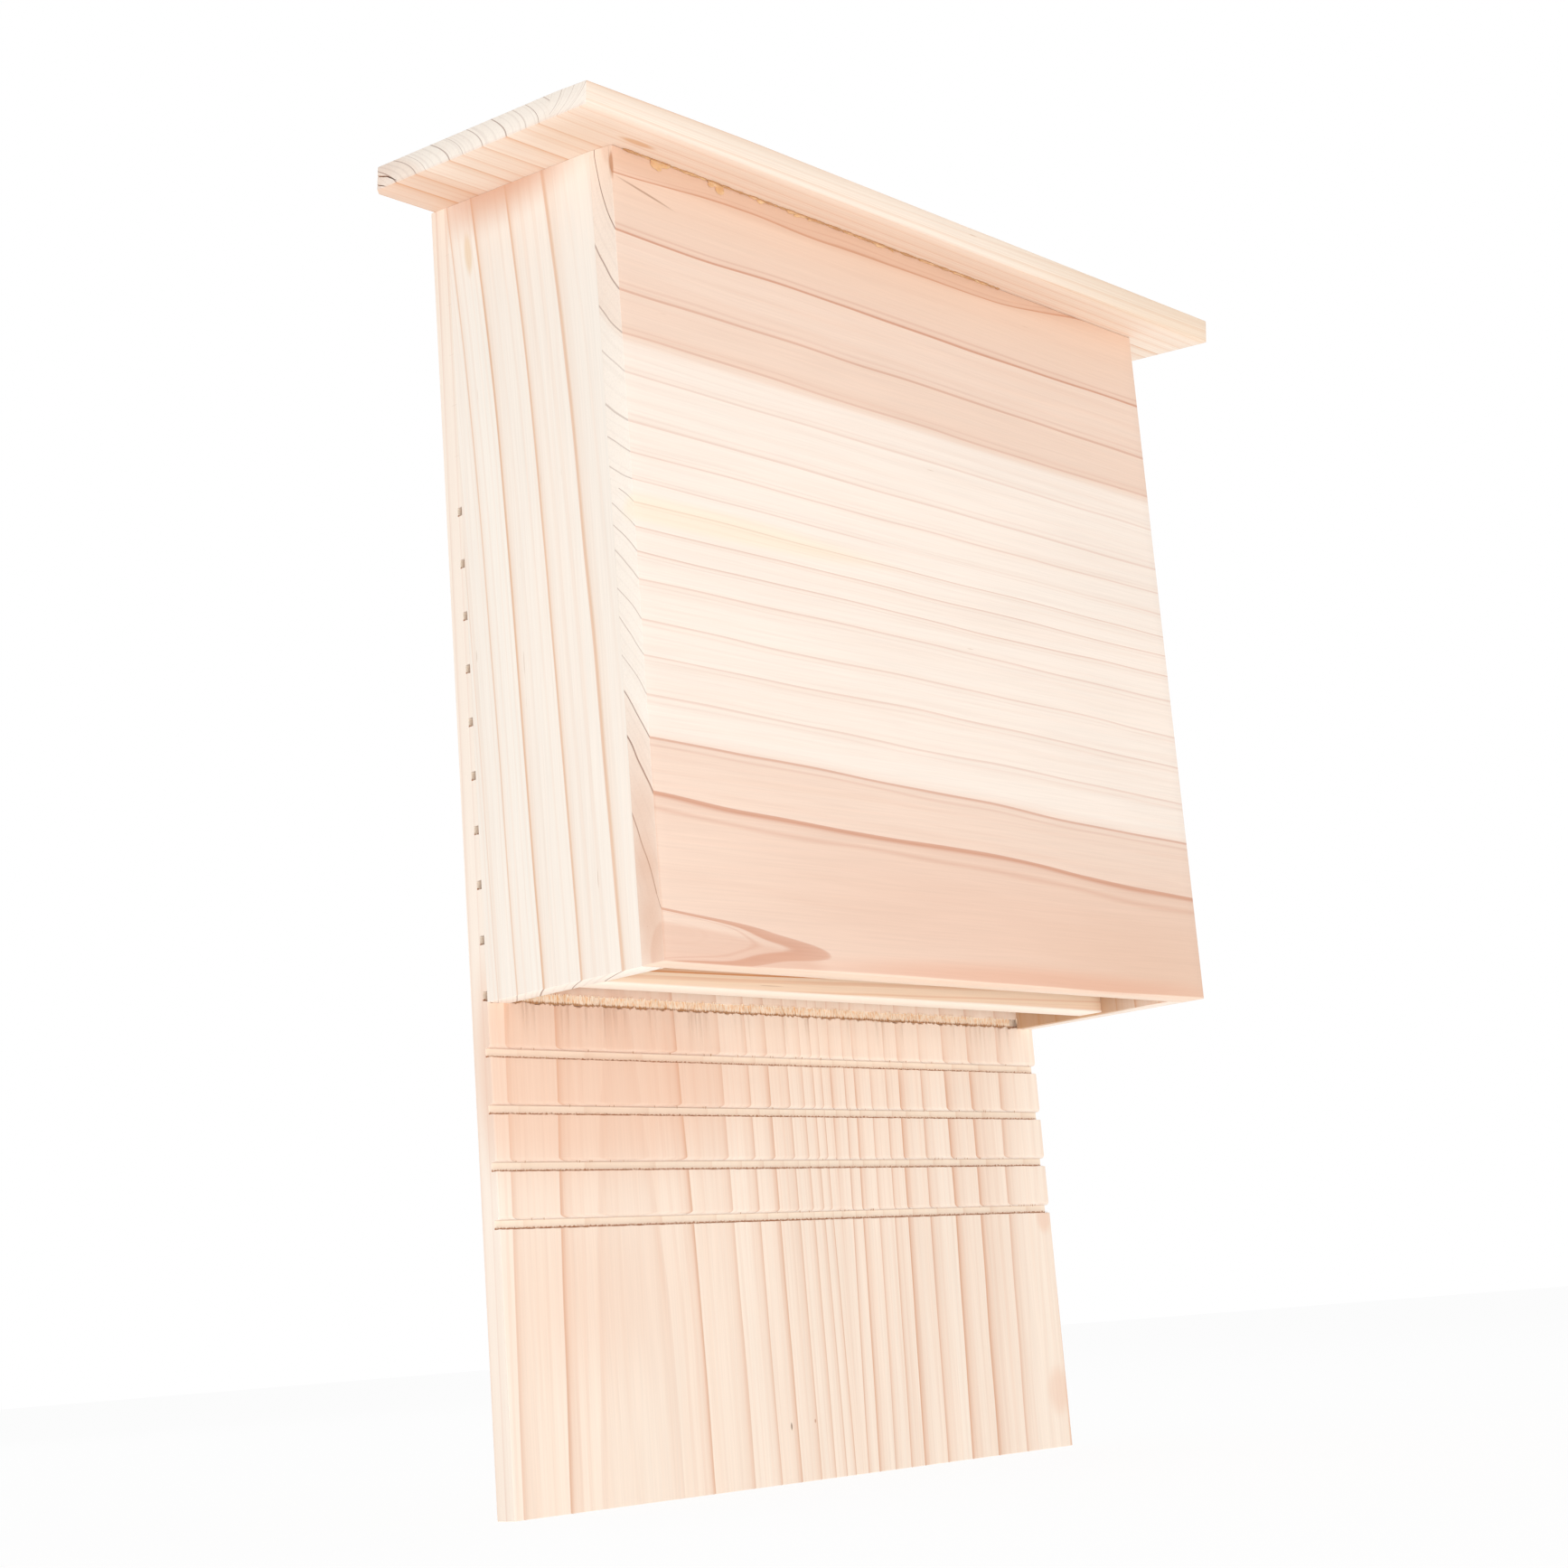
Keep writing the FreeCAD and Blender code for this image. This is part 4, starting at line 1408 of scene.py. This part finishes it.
def seen_rays(tree):
    """The kinds of light ray, and 1 for those by which the camera sees a surface itself or mirrored."""
    rays = add(tree, "ShaderNodeLightPath").node.outputs
    seen = add(tree, "ShaderNodeMath",
               {0: rays["Is Camera Ray"], 1: rays["Is Glossy Ray"]}, operation="MAXIMUM")
    return rays, seen


def pale_floor(name, colours):
    """A matt pale floor, bright enough to look white, which lights the box slightly more than it shows. From
    below it lets the eye through, so that the open bottom of the box can be looked at."""
    material, tree, shader = blank_material(name)
    shader.inputs["Base Color"].default_value = tuple(colours.floor)
    shader.inputs["Roughness"].default_value = 0.9
    shader.inputs["Specular IOR Level"].default_value = 0.1
    seen = seen_rays(tree)[1]
    share = add(tree, "ShaderNodeMapRange", {0: seen, 3: 0.85, 4: 0.88})
    bright = add(tree, "ShaderNodeMapRange", {0: seen, 3: 1.2, 4: 1.03})
    white = add(tree, "ShaderNodeEmission", {"Color": (1, 1, 1, 1), "Strength": bright})
    mixed = add(tree, "ShaderNodeMixShader", {0: share, 1: shader.outputs[0], 2: white})
    below = add(tree, "ShaderNodeNewGeometry").node.outputs["Backfacing"]
    clear = add(tree, "ShaderNodeBsdfTransparent")
    mixed = add(tree, "ShaderNodeMixShader", {0: below, 1: mixed, 2: clear})
    tree.links.new(mixed, tree.nodes["Material Output"].inputs["Surface"])
    return material


def studio_world():
    """A white world that looks brighter than it lights."""
    world = bpy.data.worlds.new("studio")
    world.use_nodes = True
    tree = world.node_tree
    rays, seen = seen_rays(tree)
    seen = add(tree, "ShaderNodeMath", {0: seen, 1: rays["Is Transmission Ray"]}, operation="MAXIMUM")
    level = add(tree, "ShaderNodeMapRange", {0: seen, 3: 0.56, 4: 1.0})
    background = tree.nodes["Background"]
    background.inputs["Color"].default_value = (1, 1, 1, 1)
    tree.links.new(level, background.inputs["Strength"])
    return world


def photo_camera():
    """A camera that sees the box as the photograph does."""
    azimuth = math.radians(CAMERA_AZIMUTH)
    elevation = math.radians(CAMERA_ELEVATION)
    roll = math.radians(CAMERA_ROLL)
    look = Vector((math.sin(azimuth) * math.cos(elevation), math.cos(azimuth) * math.cos(elevation),
                   -math.sin(elevation)))
    level = look.cross(Z_AXIS).normalized()
    steep = level.cross(look)
    across = math.cos(roll) * level + math.sin(roll) * steep
    upward = -math.sin(roll) * level + math.cos(roll) * steep
    place = Vector(CAMERA_TARGET) * MM - look * CAMERA_DISTANCE * MM
    data = bpy.data.cameras.new("camera")
    data.sensor_width = SENSOR_WIDTH
    data.lens = FOCAL_LENGTH / PHOTO_WIDTH * SENSOR_WIDTH
    data.clip_start = 0.01
    camera = bpy.data.objects.new("camera", data)
    turned = Matrix((across, upward, -look)).transposed().to_4x4()
    camera.matrix_world = Matrix.Translation(place) @ turned
    return camera


# Place, width and height in metres, and power in watts, of each softbox. All face the light target.
SOFTBOXES = (
    ("key softbox", (-0.86, -0.84, -0.475), 0.7, 0.04, 3.75),
    ("fill softbox", (1.5, -2.0, -0.35), 1.6, 0.45, 6.3),
    ("top softbox", (0.0, -0.4, 1.8), 1.8, 1.8, 6.0),
    ("back softbox", (0.2, 1.9, 0.8), 1.6, 1.6, 3.0),
)
LIGHT_TARGET = Vector((0.0136, -0.0035, -0.2306))


class BATBOX_OT_stage(bpy.types.Operator):
    """Sets up the floor, the soft light and the camera"""

    bl_idname = "batbox.stage"
    bl_label = "Stage"

    def execute(self, context):
        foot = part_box("back_board")[0].z
        only(None)
        bpy.ops.mesh.primitive_plane_add(size=30, location=(0, 0, foot))
        floor = settle(bpy.context.object, "floor")
        floor.data.materials.append(pale_floor("pale matt floor", context.scene.batbox_colours))
        context.scene.world = studio_world()
        for name, place, width, height, power in SOFTBOXES:
            lamp = bpy.data.lights.new(name, "AREA")
            lamp.shape = "RECTANGLE"
            lamp.size = width
            lamp.size_y = height
            lamp.energy = power
            light = bpy.data.objects.new(name, lamp)
            context.collection.objects.link(light)
            light.location = place
            light.rotation_euler = (LIGHT_TARGET - Vector(place)).to_track_quat("-Z", "Y").to_euler()
        camera = photo_camera()
        context.collection.objects.link(camera)
        context.scene.camera = camera
        context.scene.view_settings.view_transform = "Standard"
        return {"FINISHED"}


class BATBOX_PT_builder(bpy.types.Panel):
    """Lists the pieces of the bat box"""

    bl_label = "Bat Box"
    bl_idname = "BATBOX_PT_builder"
    bl_space_type = "VIEW_3D"
    bl_region_type = "UI"
    bl_category = "Bat Box"

    def draw(self, context):
        for group in (context.scene.batbox_sizes, context.scene.batbox_colours):
            for name in group.__annotations__:
                self.layout.prop(group, name)
        for step in STEPS:
            self.layout.operator(step.bl_idname)


STEPS = (
    BATBOX_OT_back_board,
    BATBOX_OT_groove_splinters,
    BATBOX_OT_side_boards,
    BATBOX_OT_front_board,
    BATBOX_OT_partition,
    BATBOX_OT_roof_board,
    BATBOX_OT_glue_bead,
    BATBOX_OT_hanger_plates,
    BATBOX_OT_fasteners,
    BATBOX_OT_stage,
)
CLASSES = (BatBoxSizes, BatBoxColours, *STEPS, BATBOX_PT_builder)


def register():
    for entry in CLASSES:
        bpy.utils.register_class(entry)
    bpy.types.Scene.batbox_sizes = PointerProperty(type=BatBoxSizes)
    bpy.types.Scene.batbox_colours = PointerProperty(type=BatBoxColours)


def unregister():
    del bpy.types.Scene.batbox_colours
    del bpy.types.Scene.batbox_sizes
    for entry in reversed(CLASSES):
        bpy.utils.unregister_class(entry)


def main():
    """Builds every piece in order."""
    register()
    for step in STEPS:
        group, name = step.bl_idname.split(".")
        getattr(getattr(bpy.ops, group), name)()


if __name__ == "__main__":
    main()
